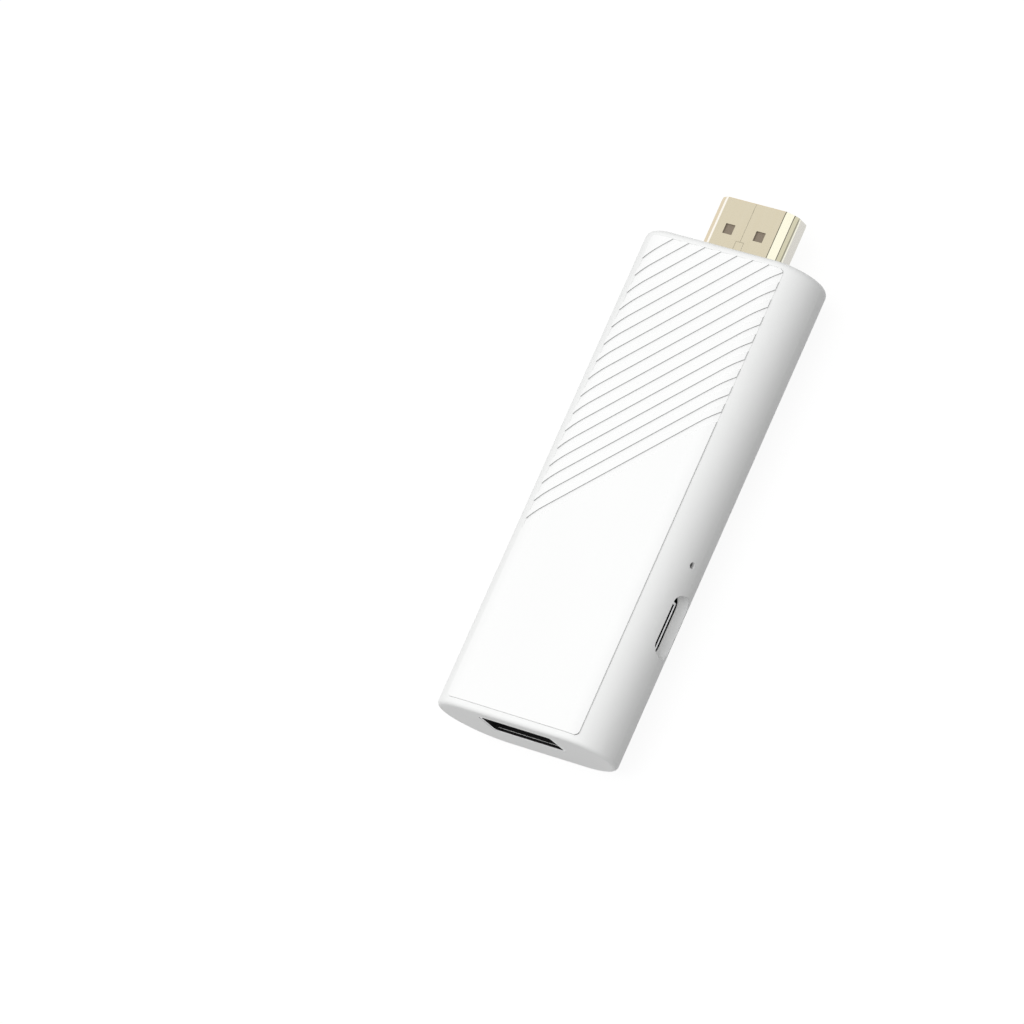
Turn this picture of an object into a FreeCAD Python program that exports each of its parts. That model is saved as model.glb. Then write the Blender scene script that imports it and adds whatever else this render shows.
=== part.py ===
import FreeCAD
import Part
import math
import os

# A streaming stick: a white moulded case with a raised, diagonally stepped cover, an HDMI plug at one
# end, a USB-A socket at the other, a micro-USB power socket and a reset pinhole in its right side.
# +X runs along the stick towards the plug, +Z is up through the cover, -Y is the side with the power
# socket. The origin is under the middle of the whole length, on the surface that the stick lies on.

Vector = FreeCAD.Vector
along_x = Vector(1, 0, 0)
along_y = Vector(0, 1, 0)
along_z = Vector(0, 0, 1)

# case
body_length = 78.4
body_width = 30.8
body_thickness = 14.0
flat_top_half = 9.3
flat_bottom_half = 6.7
widest_height = 7.6
socket_end_radius = 0.7
plug_end_radius = 1.2
wall = 1.6
label_length = 46.0
label_half_width = 5.0
label_depth = 0.2
label_corner = 1.2

# cover
cover_border = 1.2
cover_half_width = 11.8
cover_corner = 0.75
cover_rise = 0.2
cover_seam = 0.02
cover_seat_height = 12.1
ledge_width = 1.1
ledge_thickness = 1.3
rib_count = 16
rib_pitch = 2.87
rib_from_plug_end = 5.15
rib_valley_run = 1.45
rib_ramp_run = 0.2
hook_length = 3.0
hook_thickness = 0.9
hook_nose = 0.6
hook_nose_height = 0.55
hook_gap = 0.05
hook_from_socket_end = 14.4
hook_from_plug_end = 5.6
post_radius = 1.2
post_inset = 3.0
root_depth = 0.4
press_rib_thickness = 1.2

# HDMI plug, type A
plug_width = 13.9
plug_height = 4.45
plug_reach = 8.85
plug_centre_height = 7.05
plug_face_half = 5.3
plug_shoulder_half = 6.45
plug_shoulder_drop = 0.82
plug_chamfer_drop = 1.675
plug_corner = 0.5
plug_metal = 0.3
plug_length = 15.45
plug_nose_length = 0.7
plug_nose_taper = 0.05
plug_nose_bevel_length = 0.12
plug_nose_bevel = 0.07
plug_opening_gap = 0.1
window_width = 1.65
window_length = 1.6
window_from_tip = 4.9
window_offset = 2.73
fold_seam_width = 0.04
fold_seam_depth = 0.12
fold_seam_run = 6.45
fold_tail_run = 1.3
fold_tail_half = 0.7
insulator_recess = 0.9
slot_half_width = 5.45
slot_half_height = 0.95
slot_depth = 7.6
plug_contact_width = 0.3
plug_contact_thickness = 0.2
plug_contact_pitch = 1.0
plug_contact_recess = 0.7
plug_contact_proud = 0.1
upper_contact_count = 9
lower_contact_count = 10
tail_on_board = 1.5
plug_lock_length = 3.6
plug_lock_leg = 1.2
spacer_length = 1.4
spacer_margin = 0.9

# main board
board_thickness = 1.0
board_top = 6.6
board_side_gap = 1.0
board_from_socket_end = 2.1
board_from_plug = 1.7
board_corner = 1.0
board_gap = 0.15
boss_radius = 2.2
screw_shank_radius = 0.85
screw_hole_radius = 1.1
screw_head_radius = 1.75
screw_head_height = 1.1
screw_length = 4.2
screw_slot_width = 0.45
screw_slot_depth = 0.5
pin_radius = 0.7
pin_hole_radius = 0.8
rear_screw_inlet = 13.9
front_screw_inlet = 5.7
screw_from_edge = 2.5
rear_pin_inlet = 13.9
front_pin_inlet = 5.0
rear_pin_from_edge = 2.5
front_pin_from_edge = 5.5
saddle_thickness = 1.6
saddle_half_width = 9.5
saddle_from_end = 3.5
cradle_thickness = 1.4

# USB-A socket
usb_a_mouth_width = 12.5
usb_a_mouth_height = 5.05
usb_a_centre_height = 8.9
usb_a_metal = 0.28
usb_a_corner = 0.5
usb_a_depth = 13.3
usb_a_recess = 0.06
usb_a_opening_gap = 0.08
usb_a_tongue_width = 11.1
usb_a_tongue_thickness = 1.84
usb_a_tongue_recess = 1.5
usb_a_tongue_lift = 0.1
usb_a_block_length = 3.1
usb_a_contact_width = 1.0
usb_a_contact_thickness = 0.2
usb_a_contact_recess = 0.6
usb_a_contact_places = (-3.5, -1.0, 1.0, 3.5)
usb_a_foot = 1.0
usb_a_spring_width = 2.4
usb_a_spring_length = 5.5
usb_a_spring_start = 2.6
usb_a_spring_places = (-3.2, 3.2)
spring_slot = 0.3
tab_width = 1.5
tab_length = 1.8
tab_from_mouth = 4.0
tab_from_back = 2.7

# micro-USB power socket
micro_from_socket_end = 22.15
micro_centre_height = 7.95
micro_mouth_width = 6.9
micro_mouth_height = 1.85
micro_bevel = 0.8
micro_metal = 0.25
micro_depth = 5.0
micro_mouth_inset = 1.67
micro_flare = 0.1
micro_flare_length = 0.3
micro_tongue_width = 4.6
micro_tongue_thickness = 0.6
micro_tongue_recess = 0.8
micro_tongue_lift = 0.12
micro_block_length = 1.2
micro_contact_count = 5
micro_contact_pitch = 0.65
micro_contact_width = 0.35
micro_contact_thickness = 0.15
micro_contact_recess = 0.3
micro_foot = 0.8
micro_tab_width = 1.6
micro_tab_length = 1.0
micro_tab_reach = 0.6
micro_tab_from_back = (0.2, 2.2)
port_recess_length = 9.5
port_recess_below = 0.14
port_recess_above = 0.41
port_scoop_drop = 3.2
port_relief_depth = 0.1
port_relief_reach = 0.6
port_scoop_spread = 0.45

# reset switch and its pinhole
pinhole_from_socket_end = 31.48
pinhole_height = 9.15
pinhole_radius = 0.5
switch_width = 4.5
switch_height = 4.0
switch_front_inset = 3.9
switch_depth = 3.8
switch_plate = 0.3
switch_arm_length = 2.7
switch_arm_height = 2.0
stem_radius = 0.9
stem_reach = 1.2
stem_clearance = 0.05
flange_radius = 1.5
flange_thickness = 0.45
flange_gap = 0.1
flange_clearance = 0.08
button_travel = 0.25
dome_radius = 1.45
dome_height = 0.3
dome_metal = 0.1
dome_gap = 0.05
terminal_width = 0.8
terminal_thickness = 0.15
terminal_reach = 0.7
terminal_count = 3
terminal_pitch = 1.5

# chips, shields and cooling
ball_height = 0.1
ball_field_inset = 0.5
mark_radius = 0.5
mark_depth = 0.08
mark_inset = 1.3
processor_size = 13.0
processor_from_shield = 1.5
processor_thickness = 1.1
processor_x = -12.0
memory_length = 7.0
memory_gap = 0.3
memory_from_shield = 0.15
memory_thickness = 1.0
memory_x = -1.6
shield_x = -8.2
shield_length = 22.0
shield_width = 16.0
shield_height = 1.5
shield_metal = 0.2
shield_rim = 1.2
lid_skirt = 0.8
upper_pad_thickness = 0.8
upper_pad_inset = 1.8
pad_size = 12.0
spreader_thickness = 1.0
spreader_from_shield = 2.7
spreader_y = 1.9
spreader_length = 43.0
spreader_width = 14.6
spreader_fin_count = 6
spreader_fin_height = 1.0
spreader_fin_width = 0.8
spreader_fin_length = 24.0
storage_from_lid = 0.725
storage_from_board_end = 9.75
storage_width = 11.5
storage_thickness = 1.0
storage_from_edge = 0.9
wifi_length = 12.0
wifi_width = 9.0
wifi_board_thickness = 0.6
wifi_inlet = 16.0
wifi_from_edge = 0.7
wifi_can_inset = 0.7
wifi_can_height = 1.2
wifi_can_metal = 0.2
antenna_length = 5.0
antenna_width = 1.2
antenna_height = 1.6
antenna_leg_spacing = 1.7
antenna_metal = 0.2
antenna_inlet = 9.1
antenna_from_edge = 1.3
power_chip_size = 5.0
power_chip_thickness = 0.9
power_chip_inlet = 17.9
power_chip_y = 4.9
pin_lead_width = 0.3
pin_lead_reach = 0.6
pin_lead_thickness = 0.12
inductor_size = 3.6
inductor_height = 2.0
inductor_top_rise = 0.2
inductor_corner = 0.8
inductor_inlet = 17.3
inductor_rows = (-0.4, -4.2)
inductor_winding_inset = 0.5
bulk_size = (3.2, 1.6, 1.6)
bulk_inlets = (6.0, 9.9)
bulk_from_tabs = 0.6
ceramic_size = (1.0, 0.5, 0.5)
resistor_size = (1.0, 0.5, 0.35)
small_part_pitch = 1.3
crystal_size = (3.2, 2.5, 0.8)
crystal_inlet = 20.1
crystal_from_edge = 1.9
crystal_corner = 0.3
crystal_base_height = 0.55
crystal_lid_inset = 0.22
choke_size = (2.0, 1.2, 0.9)
choke_inlet = 4.3
choke_pitch = 2.6
choke_count = 4
surge_size = (1.0, 2.5, 0.5)
surge_inlet = 6.6
surge_pitch = 3.6
surge_count = 3
regulator_size = (1.6, 2.9, 1.1)
front_regulator_inlet = 8.9
regulator_from_edge = 2.7
inner_regulator_y = 5.6
rear_regulator_inlet = 14.3
rear_regulator_y = -6.4
end_cap_length = 0.22
end_cap_proud = 0.03
ceramic_inlets = (21.2, 13.9)
ceramic_starts = (-5.4, -3.9)
ceramic_counts = (10, 7)
resistor_row_x = -7.0
resistor_row_gap = 0.9
resistor_row_count = 7
resistor_column_inlet = 8.9
resistor_column_y = -3.0
resistor_column_count = 5

# places that follow from the sizes above
overall_length = body_length + plug_reach
socket_end_x = -overall_length / 2
plug_end_x = socket_end_x + body_length
plug_tip_x = overall_length / 2
plug_back_x = plug_tip_x - plug_length
plug_bottom = plug_centre_height - plug_height / 2
plug_top = plug_centre_height + plug_height / 2
cover_start_x = socket_end_x + cover_border
cover_end_x = plug_end_x - cover_border
ledge_bottom = cover_seat_height - ledge_thickness
hook_face = cover_half_width - ledge_width
board_bottom = board_top - board_thickness
board_half_width = body_width / 2 - wall - board_side_gap
board_start_x = socket_end_x + board_from_socket_end
board_end_x = plug_back_x - board_from_plug
screw_y = board_half_width - screw_from_edge
screw_places = ((board_start_x + rear_screw_inlet, screw_y), (board_end_x - front_screw_inlet, screw_y))
pin_places = ((board_start_x + rear_pin_inlet, rear_pin_from_edge - board_half_width),
              (board_end_x - front_pin_inlet, front_pin_from_edge - board_half_width))
rear_hook_x = cover_start_x + hook_from_socket_end
front_hook_x = cover_end_x - hook_from_plug_end
hook_places = (rear_hook_x, (rear_hook_x + front_hook_x) / 2, front_hook_x)
usb_a_front_x = socket_end_x + usb_a_recess
usb_a_back_x = usb_a_front_x + usb_a_depth
usb_a_top = usb_a_centre_height + usb_a_mouth_height / 2 + usb_a_metal
usb_a_bottom = usb_a_centre_height - usb_a_mouth_height / 2 - usb_a_metal
usb_a_half_width = usb_a_mouth_width / 2 + usb_a_metal
right_side_y = -body_width / 2
micro_x = socket_end_x + micro_from_socket_end
micro_mouth_y = right_side_y + micro_mouth_inset
micro_back_y = micro_mouth_y + micro_depth
pinhole_x = socket_end_x + pinhole_from_socket_end
switch_front_y = right_side_y + switch_front_inset
switch_back_y = switch_front_y + switch_depth
shield_y = (switch_back_y + board_half_width) / 2
spreader_x = shield_x + spreader_from_shield
processor_width = shield_width - 2 * processor_from_shield
lower_pad_inset = (processor_size - pad_size) / 2
memory_width = (shield_width - memory_gap) / 2 - shield_metal - memory_from_shield
memory_spacing = memory_width + memory_gap
storage_start_x = shield_x + shield_length / 2 + shield_metal + storage_from_lid
storage_end_x = board_end_x - storage_from_board_end
storage_length = storage_end_x - storage_start_x
storage_x = (storage_start_x + storage_end_x) / 2
storage_y = board_half_width - storage_from_edge - storage_width / 2
wifi_x = board_end_x - wifi_inlet
wifi_y = wifi_from_edge + wifi_width / 2 - board_half_width
antenna_x = board_end_x - antenna_inlet
antenna_y = antenna_from_edge - board_half_width
crystal_x = board_start_x + crystal_inlet
crystal_y = board_half_width - crystal_from_edge
bulk_y = usb_a_half_width + tab_width + bulk_from_tabs + bulk_size[1] / 2
shield_top = board_top + shield_height
lid_top = shield_top + shield_metal
spreader_bottom = lid_top + upper_pad_thickness
spreader_top = spreader_bottom + spreader_thickness
case_middle_x = (socket_end_x + plug_end_x) / 2
saddle_x = plug_end_x - saddle_from_end
cradle_x = (usb_a_front_x + usb_a_back_x) / 2
overrun = 1.0
above_all = body_thickness + 3 * overrun


def block(x0, x1, y0, y1, z0, z1):
    """A box between two corners."""
    return Part.makeBox(x1 - x0, y1 - y0, z1 - z0, Vector(x0, y0, z0))


def block_at(x, y, z0, length, width, height):
    """A box centred on x and y that stands on z0."""
    return block(x - length / 2, x + length / 2, y - width / 2, y + width / 2, z0, z0 + height)


def joined(shapes):
    """The union of several solids."""
    first = shapes[0]
    return first.fuse(shapes[1:]).removeSplitter() if len(shapes) > 1 else first


def rounded_rectangle(centre, across, up, width, height, radius):
    """A face with round corners; across and up are its two directions."""
    half_w = width / 2
    half_h = height / 2
    edges = []
    corners = ((1, 1), (-1, 1), (-1, -1), (1, -1))
    starts = []
    for sx, sy in corners:
        inner = centre + across * (sx * (half_w - radius)) + up * (sy * (half_h - radius))
        side = inner + across * (sx * radius)
        cap = inner + up * (sy * radius)
        middle = inner + (across * sx + up * sy) * (radius / math.sqrt(2))
        first, last = (side, cap) if sx * sy > 0 else (cap, side)
        starts.append((first, middle, last))
    for index, (first, middle, last) in enumerate(starts):
        edges.append(Part.Arc(first, middle, last).toShape())
        following = starts[(index + 1) % len(starts)][0]
        if (following - last).Length > 1e-6:
            edges.append(Part.LineSegment(last, following).toShape())
    return Part.Face(Part.Wire(edges))


def plate(x0, x1, y0, y1, z0, z1, radius):
    """A plate with round corners in plan."""
    centre = Vector((x0 + x1) / 2, (y0 + y1) / 2, z0)
    face = rounded_rectangle(centre, along_x, along_y, x1 - x0, y1 - y0, radius)
    return face.extrude(Vector(0, 0, z1 - z0))


def plate_at(x, y, z0, length, width, height, radius):
    """A round-cornered plate centred on x and y that stands on z0."""
    return plate(x - length / 2, x + length / 2, y - width / 2, y + width / 2, z0, z0 + height, radius)


def upright(x, y, z0, radius, height):
    """A round post along Z."""
    return Part.makeCylinder(radius, height, Vector(x, y, z0), along_z)


def crosswise(x, z, y0, y1, radius):
    """A round bar along Y."""
    return Part.makeCylinder(radius, y1 - y0, Vector(x, y0, z), along_y)


def side_profile(points, y, width):
    """A solid from points (x, z), centred on y and width wide."""
    corners = [Vector(x, y - width / 2, z) for x, z in points]
    face = Part.Face(Part.makePolygon(corners + corners[:1]))
    return face.extrude(Vector(0, width, 0))


def end_profile(points, x, length):
    """A solid from points (y, z), centred on x and length long."""
    corners = [Vector(x - length / 2, y, z) for y, z in points]
    face = Part.Face(Part.makePolygon(corners + corners[:1]))
    return face.extrude(Vector(length, 0, 0))


def quarter_ellipse(centre, first, second):
    """The edge from centre + first to centre + second, square to each other at the centre."""
    if abs(first.Length - second.Length) < 1e-6:
        middle = centre + (first + second) / math.sqrt(2)
        return Part.Arc(centre + first, middle, centre + second).toShape()
    longer, shorter = (first, second) if first.Length > second.Length else (second, first)
    ellipse = Part.Ellipse(centre + longer, centre + shorter, centre)
    return Part.ArcOfEllipse(ellipse, 0, math.pi / 2).toShape()


def top_curve(grow, x_at):
    """The top line of the case's section, grown outwards, from its left side to its right side.

    x_at gives the x of a point from its y, so that the line can run straight across or diagonally.
    """
    reach = body_width / 2 - flat_top_half + grow
    rise = body_thickness - widest_height + grow
    edges = []
    for side in (1, -1):
        centre = Vector(x_at(side * flat_top_half), side * flat_top_half, widest_height)
        outwards = Vector(x_at(side * (flat_top_half + reach)), side * (flat_top_half + reach), 0)
        outwards = outwards - Vector(centre.x, centre.y, 0)
        edges.append(quarter_ellipse(centre, outwards, Vector(0, 0, rise)))
    left_top = Vector(x_at(flat_top_half), flat_top_half, widest_height + rise)
    right_top = Vector(x_at(-flat_top_half), -flat_top_half, widest_height + rise)
    edges.insert(1, Part.LineSegment(left_top, right_top).toShape())
    return edges


def bottom_curve(grow, x):
    """The bottom line of the case's section, grown outwards, from its right side to its left side."""
    reach = body_width / 2 - flat_bottom_half + grow
    drop = widest_height + grow
    edges = []
    for side in (-1, 1):
        centre = Vector(x, side * flat_bottom_half, widest_height)
        edges.append(quarter_ellipse(centre, Vector(0, side * reach, 0), Vector(0, 0, -drop)))
    right_low = Vector(x, -flat_bottom_half, widest_height - drop)
    left_low = Vector(x, flat_bottom_half, widest_height - drop)
    edges.insert(1, Part.LineSegment(right_low, left_low).toShape())
    return edges


def case_block(grow, x0, x1):
    """The case's section, grown outwards, from x0 to x1."""
    edges = top_curve(grow, lambda y: x0) + bottom_curve(grow, x0)
    wire = Part.Wire(Part.__sortEdges__(edges))
    return Part.Face(wire).extrude(Vector(x1 - x0, 0, 0))


def case_outside():
    """The whole outside of the case with its end edges rounded."""
    solid = case_block(0, socket_end_x, plug_end_x)
    for end_x, radius in ((socket_end_x, socket_end_radius), (plug_end_x, plug_end_radius)):
        rim = [edge for edge in solid.Edges
               if edge.BoundBox.XLength < 1e-4 and abs(edge.BoundBox.XMin - end_x) < 1e-3]
        solid = solid.makeFillet(radius, rim)
    return solid


def plug_face(grow, x):
    """The HDMI plug's outline, narrow side up, grown outwards."""
    half = plug_width / 2
    top = plug_top
    shoulder = (plug_shoulder_half, top - plug_shoulder_drop)
    side = (half, top - plug_chamfer_drop)
    foot = Vector(x, half, plug_bottom + plug_corner)
    short_of_corner = plug_corner * (1 - math.sqrt(0.5))
    foot_middle = Vector(x, half - short_of_corner, plug_bottom + short_of_corner)
    foot_end = Vector(x, half - plug_corner, plug_bottom)
    upper = [Vector(x, plug_face_half, top), Vector(x, *shoulder), Vector(x, *side), foot]
    edges = [Part.LineSegment(a, b).toShape() for a, b in zip(upper, upper[1:])]
    edges.append(Part.Arc(foot, foot_middle, foot_end).toShape())
    mirrored = [edge.mirror(Vector(0, 0, 0), along_y) for edge in edges]
    across_top = Part.LineSegment(Vector(x, -plug_face_half, top), upper[0]).toShape()
    across_foot = Part.LineSegment(foot_end, Vector(x, -foot_end.y, foot_end.z)).toShape()
    wire = Part.Wire(Part.__sortEdges__(edges + mirrored + [across_top, across_foot]))
    face = Part.Face(wire)
    return face.makeOffset2D(grow, 2) if abs(grow) > 1e-6 else face


def plug_block(grow, x0, x1):
    """The plug's outline, grown outwards, from x0 to x1."""
    return plug_face(grow, x0).extrude(Vector(x1 - x0, 0, 0))


def plug_nose(grow):
    """The plug's front end, drawn in towards its tip so that it finds the socket."""
    steps = ((plug_tip_x - plug_nose_length, 0.0),
             (plug_tip_x - plug_nose_bevel_length, plug_nose_taper),
             (plug_tip_x, plug_nose_taper + plug_nose_bevel))
    wires = [plug_face(grow - drawn_in, x).OuterWire for x, drawn_in in steps]
    return Part.makeLoft(wires, True, True)


def port_recess():
    """The round-ended opening for the power plug, the scoop that widens it outwards and down, and the
    relief on the wall's inner side that keeps the socket's lip free."""
    outer_y = right_side_y - overrun
    lip_half_height = micro_mouth_height / 2 + micro_metal + micro_flare
    port_recess_height = 2 * lip_half_height + port_recess_below + port_recess_above
    lift = (port_recess_above - port_recess_below) / 2
    centre = Vector(micro_x, outer_y, micro_centre_height + lift)
    mouth = rounded_rectangle(centre, along_x, along_z, port_recess_length, port_recess_height,
                              port_recess_height / 2)
    straight = mouth.extrude(Vector(0, micro_mouth_y + overrun - outer_y, 0))
    inner = mouth.translated(Vector(0, micro_mouth_y - outer_y, 0))
    wide_height = port_recess_height + port_scoop_drop
    lowered = centre - Vector(0, 0, port_scoop_drop / 2)
    outer = rounded_rectangle(lowered, along_x, along_z, port_recess_length + 2 * port_scoop_spread,
                              wide_height, wide_height / 2)
    scoop = Part.makeLoft([outer.OuterWire, inner.OuterWire], True, True)
    relief_height = port_recess_height + 2 * port_relief_reach
    relief_front = Vector(centre.x, micro_mouth_y - port_relief_depth, centre.z)
    relief = rounded_rectangle(relief_front, along_x, along_z, port_recess_length + 2 * port_relief_reach,
                               relief_height, relief_height / 2)
    return joined([straight, scoop, relief.extrude(Vector(0, port_relief_depth + overrun, 0))])


def usb_a_block(grow, x0, x1, radius):
    """The USB-A mouth, grown outwards, from x0 to x1."""
    centre = Vector(x0, 0, usb_a_centre_height)
    face = rounded_rectangle(centre, along_y, along_z, usb_a_mouth_width + 2 * grow,
                             usb_a_mouth_height + 2 * grow, radius)
    return face.extrude(Vector(x1 - x0, 0, 0))


def micro_block(grow, y0, y1):
    """The micro-USB mouth, wide side down, grown outwards, from y0 to y1."""
    half = micro_mouth_width / 2 + grow
    low = micro_centre_height - micro_mouth_height / 2 - grow
    high = micro_centre_height + micro_mouth_height / 2 + grow
    bevel = micro_bevel
    outline = ((-half, low), (half, low), (half, high - bevel), (half - bevel, high),
               (-half + bevel, high), (-half, high - bevel))
    corners = [Vector(micro_x + x, y0, z) for x, z in outline]
    face = Part.Face(Part.makePolygon(corners + corners[:1]))
    return face.extrude(Vector(0, y1 - y0, 0))


def housing_bosses():
    """Four posts that carry the board: two take screws, two have locating pins."""
    posts = []
    for x, y in screw_places + pin_places:
        posts.append(upright(x, y, 0, boss_radius, board_bottom))
    for x, y in pin_places:
        posts.append(upright(x, y, board_bottom, pin_radius, board_thickness + pin_radius))
    return posts


def lower_housing():
    """The tub: underside, round sides and both ends, open above where the cover drops in."""
    outside = case_outside()
    hollow = case_block(-wall, socket_end_x + wall, plug_end_x - wall)
    hollow = hollow.common(block(socket_end_x, plug_end_x, -body_width, body_width, 0, ledge_bottom))
    tub = outside.cut(hollow)
    tub = tub.cut([
        plate(cover_start_x - cover_seam, cover_end_x + cover_seam, -cover_half_width - cover_seam,
              cover_half_width + cover_seam, cover_seat_height, above_all, cover_corner + cover_seam),
        plate(cover_start_x + ledge_width, cover_end_x - ledge_width, -hook_face, hook_face,
              ledge_bottom - overrun, cover_seat_height + overrun, cover_corner),
        plate_at(case_middle_x, 0, -overrun, label_length, 2 * label_half_width,
                 label_depth + overrun, label_corner),
    ])
    supports = housing_bosses()
    supports.append(block(saddle_x - saddle_thickness / 2, saddle_x + saddle_thickness / 2,
                          -saddle_half_width, saddle_half_width, 0, plug_centre_height))
    supports.append(block(cradle_x - cradle_thickness / 2, cradle_x + cradle_thickness / 2,
                          -usb_a_half_width, usb_a_half_width, 0, usb_a_bottom))
    supports = [support.common(outside) for support in supports]
    tub = joined([tub] + supports)
    corner = usb_a_corner + usb_a_metal + usb_a_opening_gap
    gap = usb_a_metal + usb_a_opening_gap
    openings = [
        plug_block(plug_opening_gap, plug_back_x, plug_end_x + overrun),
        usb_a_block(gap, socket_end_x - overrun, socket_end_x + 2 * wall, corner),
        port_recess(),
        crosswise(pinhole_x, pinhole_height, right_side_y - overrun, right_side_y + 2 * wall,
                  pinhole_radius),
    ]
    for x, y in screw_places:
        openings.append(upright(x, y, board_top - screw_length, screw_shank_radius, screw_length))
    return tub.cut(openings)


def rib_line(number):
    """The sum of x and y along one diagonal step."""
    first = plug_end_x - rib_from_plug_end + cover_half_width
    return first - number * rib_pitch


def diagonal_wire(total, grow):
    """A closed upright outline along the diagonal x + y = total, above the case's grown top line."""
    def x_at(y):
        return total - y
    edges = top_curve(grow, x_at)
    reach = body_width / 2 + grow
    low_left = Vector(x_at(reach), reach, widest_height)
    low_right = Vector(x_at(-reach), -reach, widest_height)
    high_left = Vector(low_left.x, low_left.y, above_all)
    high_right = Vector(low_right.x, low_right.y, above_all)
    edges.append(Part.LineSegment(low_left, high_left).toShape())
    edges.append(Part.LineSegment(high_left, high_right).toShape())
    edges.append(Part.LineSegment(high_right, low_right).toShape())
    return Part.Wire(Part.__sortEdges__(edges))


def diagonal_cutters():
    """The valleys between the raised ribs: level with the case, then a short ramp up to the next rib."""
    cutters = []
    for number in range(rib_count):
        total = rib_line(number)
        foot = total - rib_valley_run
        for wires in ([diagonal_wire(total, 0), diagonal_wire(foot, 0)],
                      [diagonal_wire(foot, 0), diagonal_wire(foot - rib_ramp_run, cover_rise)]):
            cutters.append(Part.makeLoft(wires, True, True))
    return cutters


def snap_hook(x, side):
    """A hook under the cover whose nose catches below the housing's ledge."""
    face = hook_face - hook_gap
    nose_top = ledge_bottom - hook_gap
    nose_low = nose_top - hook_nose_height
    root = cover_seat_height + root_depth
    outline = ((face - hook_thickness, root), (face, root), (face, nose_top),
               (face + hook_nose, nose_top), (face, nose_low), (face - hook_thickness, nose_low))
    return end_profile([(side * y, z) for y, z in outline], x, hook_length)


def post_places():
    """The four places where the cover's posts press the heat spreader."""
    half_length = spreader_length / 2 - post_inset
    half_width = spreader_width / 2 - post_inset / 2
    return [(spreader_x + sx * half_length, spreader_y + sy * half_width)
            for sx in (1, -1) for sy in (1, -1)]


def top_cover():
    """The raised panel with its diagonal steps, its snap hooks and its inner ribs and posts."""
    panel = plate(cover_start_x, cover_end_x, -cover_half_width, cover_half_width,
                  cover_seat_height, above_all, cover_corner)
    panel = panel.common(case_block(cover_rise, cover_start_x - overrun, cover_end_x + overrun))
    panel = panel.cut(diagonal_cutters())
    root = cover_seat_height + root_depth
    pieces = [snap_hook(x, side) for x in hook_places for side in (1, -1)]
    for x, y in post_places():
        pieces.append(upright(x, y, spreader_top, post_radius, root - spreader_top))
    pieces.append(block_at(saddle_x, 0, plug_top, press_rib_thickness, 2 * plug_face_half,
                           root - plug_top))
    pieces.append(block_at(cradle_x, 0, usb_a_top, press_rib_thickness, usb_a_mouth_width,
                           root - usb_a_top))
    return joined([panel] + pieces)


def hdmi_shell():
    """The plug's folded metal shell with its latch windows, its seam and its board locks."""
    nose_start = plug_tip_x - plug_nose_length
    outside = plug_block(0, plug_back_x, nose_start).fuse(plug_nose(0))
    inside = plug_block(-plug_metal, plug_back_x - overrun, nose_start).fuse(plug_nose(-plug_metal))
    shell = outside.cut(inside)
    window_x = plug_tip_x - window_from_tip
    cuts = []
    for side in (1, -1):
        cuts.append(block_at(window_x, side * window_offset, plug_bottom - overrun, window_length,
                             window_width, plug_height + 2 * overrun))
    groove_bottom = plug_top - fold_seam_depth
    tail_x = plug_tip_x - fold_seam_run
    cuts.append(block(tail_x, plug_tip_x + overrun, -fold_seam_width / 2, fold_seam_width / 2,
                      groove_bottom, plug_top + overrun))
    for side in (1, -1):
        cuts.append(block(tail_x, tail_x + fold_seam_width, min(0, side * fold_tail_half),
                          max(0, side * fold_tail_half), groove_bottom, plug_top + overrun))
        edge = side * fold_tail_half
        cuts.append(block(tail_x - fold_tail_run, tail_x + fold_seam_width, edge - fold_seam_width / 2,
                          edge + fold_seam_width / 2, groove_bottom, plug_top + overrun))
    shell = shell.cut(cuts)
    locks = []
    half = plug_width / 2
    for side in (1, -1):
        y0 = min(side * half, side * (half - plug_metal))
        y1 = max(side * half, side * (half - plug_metal))
        low = plug_bottom + plug_corner
        high = plug_top - plug_chamfer_drop
        locks.append(block(plug_back_x - plug_lock_length, plug_back_x + plug_metal, y0, y1,
                           (low + high) / 2, high))
        locks.append(block(plug_back_x - plug_lock_length, plug_back_x - plug_lock_length + plug_lock_leg,
                           y0, y1, board_bottom - plug_metal, high))
    return joined([shell] + locks)


def plug_contact_places():
    """Each HDMI contact as (y, row): the upper row faces the narrow side, the lower row the wide side."""
    places = []
    for count, row in ((upper_contact_count, 1), (lower_contact_count, -1)):
        for index in range(count):
            places.append(((index - (count - 1) / 2) * plug_contact_pitch, row))
    return places


def hdmi_contact(y, row):
    """One contact: a straight blade in the slot, a jog, and a tail on the board."""
    metal = plug_contact_thickness
    face = plug_centre_height + row * (slot_half_height - plug_contact_proud)
    blade_low = min(face, face + row * metal)
    tail_low = board_top if row > 0 else board_bottom - metal
    front = plug_tip_x - insulator_recess - plug_contact_recess
    jog = plug_back_x + 3 * metal
    tail_end = board_end_x - tail_on_board
    low = min(blade_low, tail_low)
    high = max(blade_low, tail_low) + metal
    blade = block(jog, front, y - plug_contact_width / 2, y + plug_contact_width / 2, blade_low,
                  blade_low + metal)
    riser = block(jog - metal, jog, y - plug_contact_width / 2, y + plug_contact_width / 2, low, high)
    tail = block(tail_end, jog - metal, y - plug_contact_width / 2, y + plug_contact_width / 2,
                 tail_low, tail_low + metal)
    return joined([blade, riser, tail])


def hdmi_contacts():
    """All nineteen contacts, each its own solid."""
    return [hdmi_contact(y, row) for y, row in plug_contact_places()]


def hdmi_insulator(contacts):
    """The moulding inside the shell, with the slot that takes the socket's tongue."""
    front = plug_tip_x - insulator_recess
    body = plug_block(-plug_metal, plug_back_x, front)
    slot = block(front - slot_depth, front + overrun, -slot_half_width, slot_half_width,
                 plug_centre_height - slot_half_height, plug_centre_height + slot_half_height)
    return body.cut([slot] + contacts)


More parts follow.
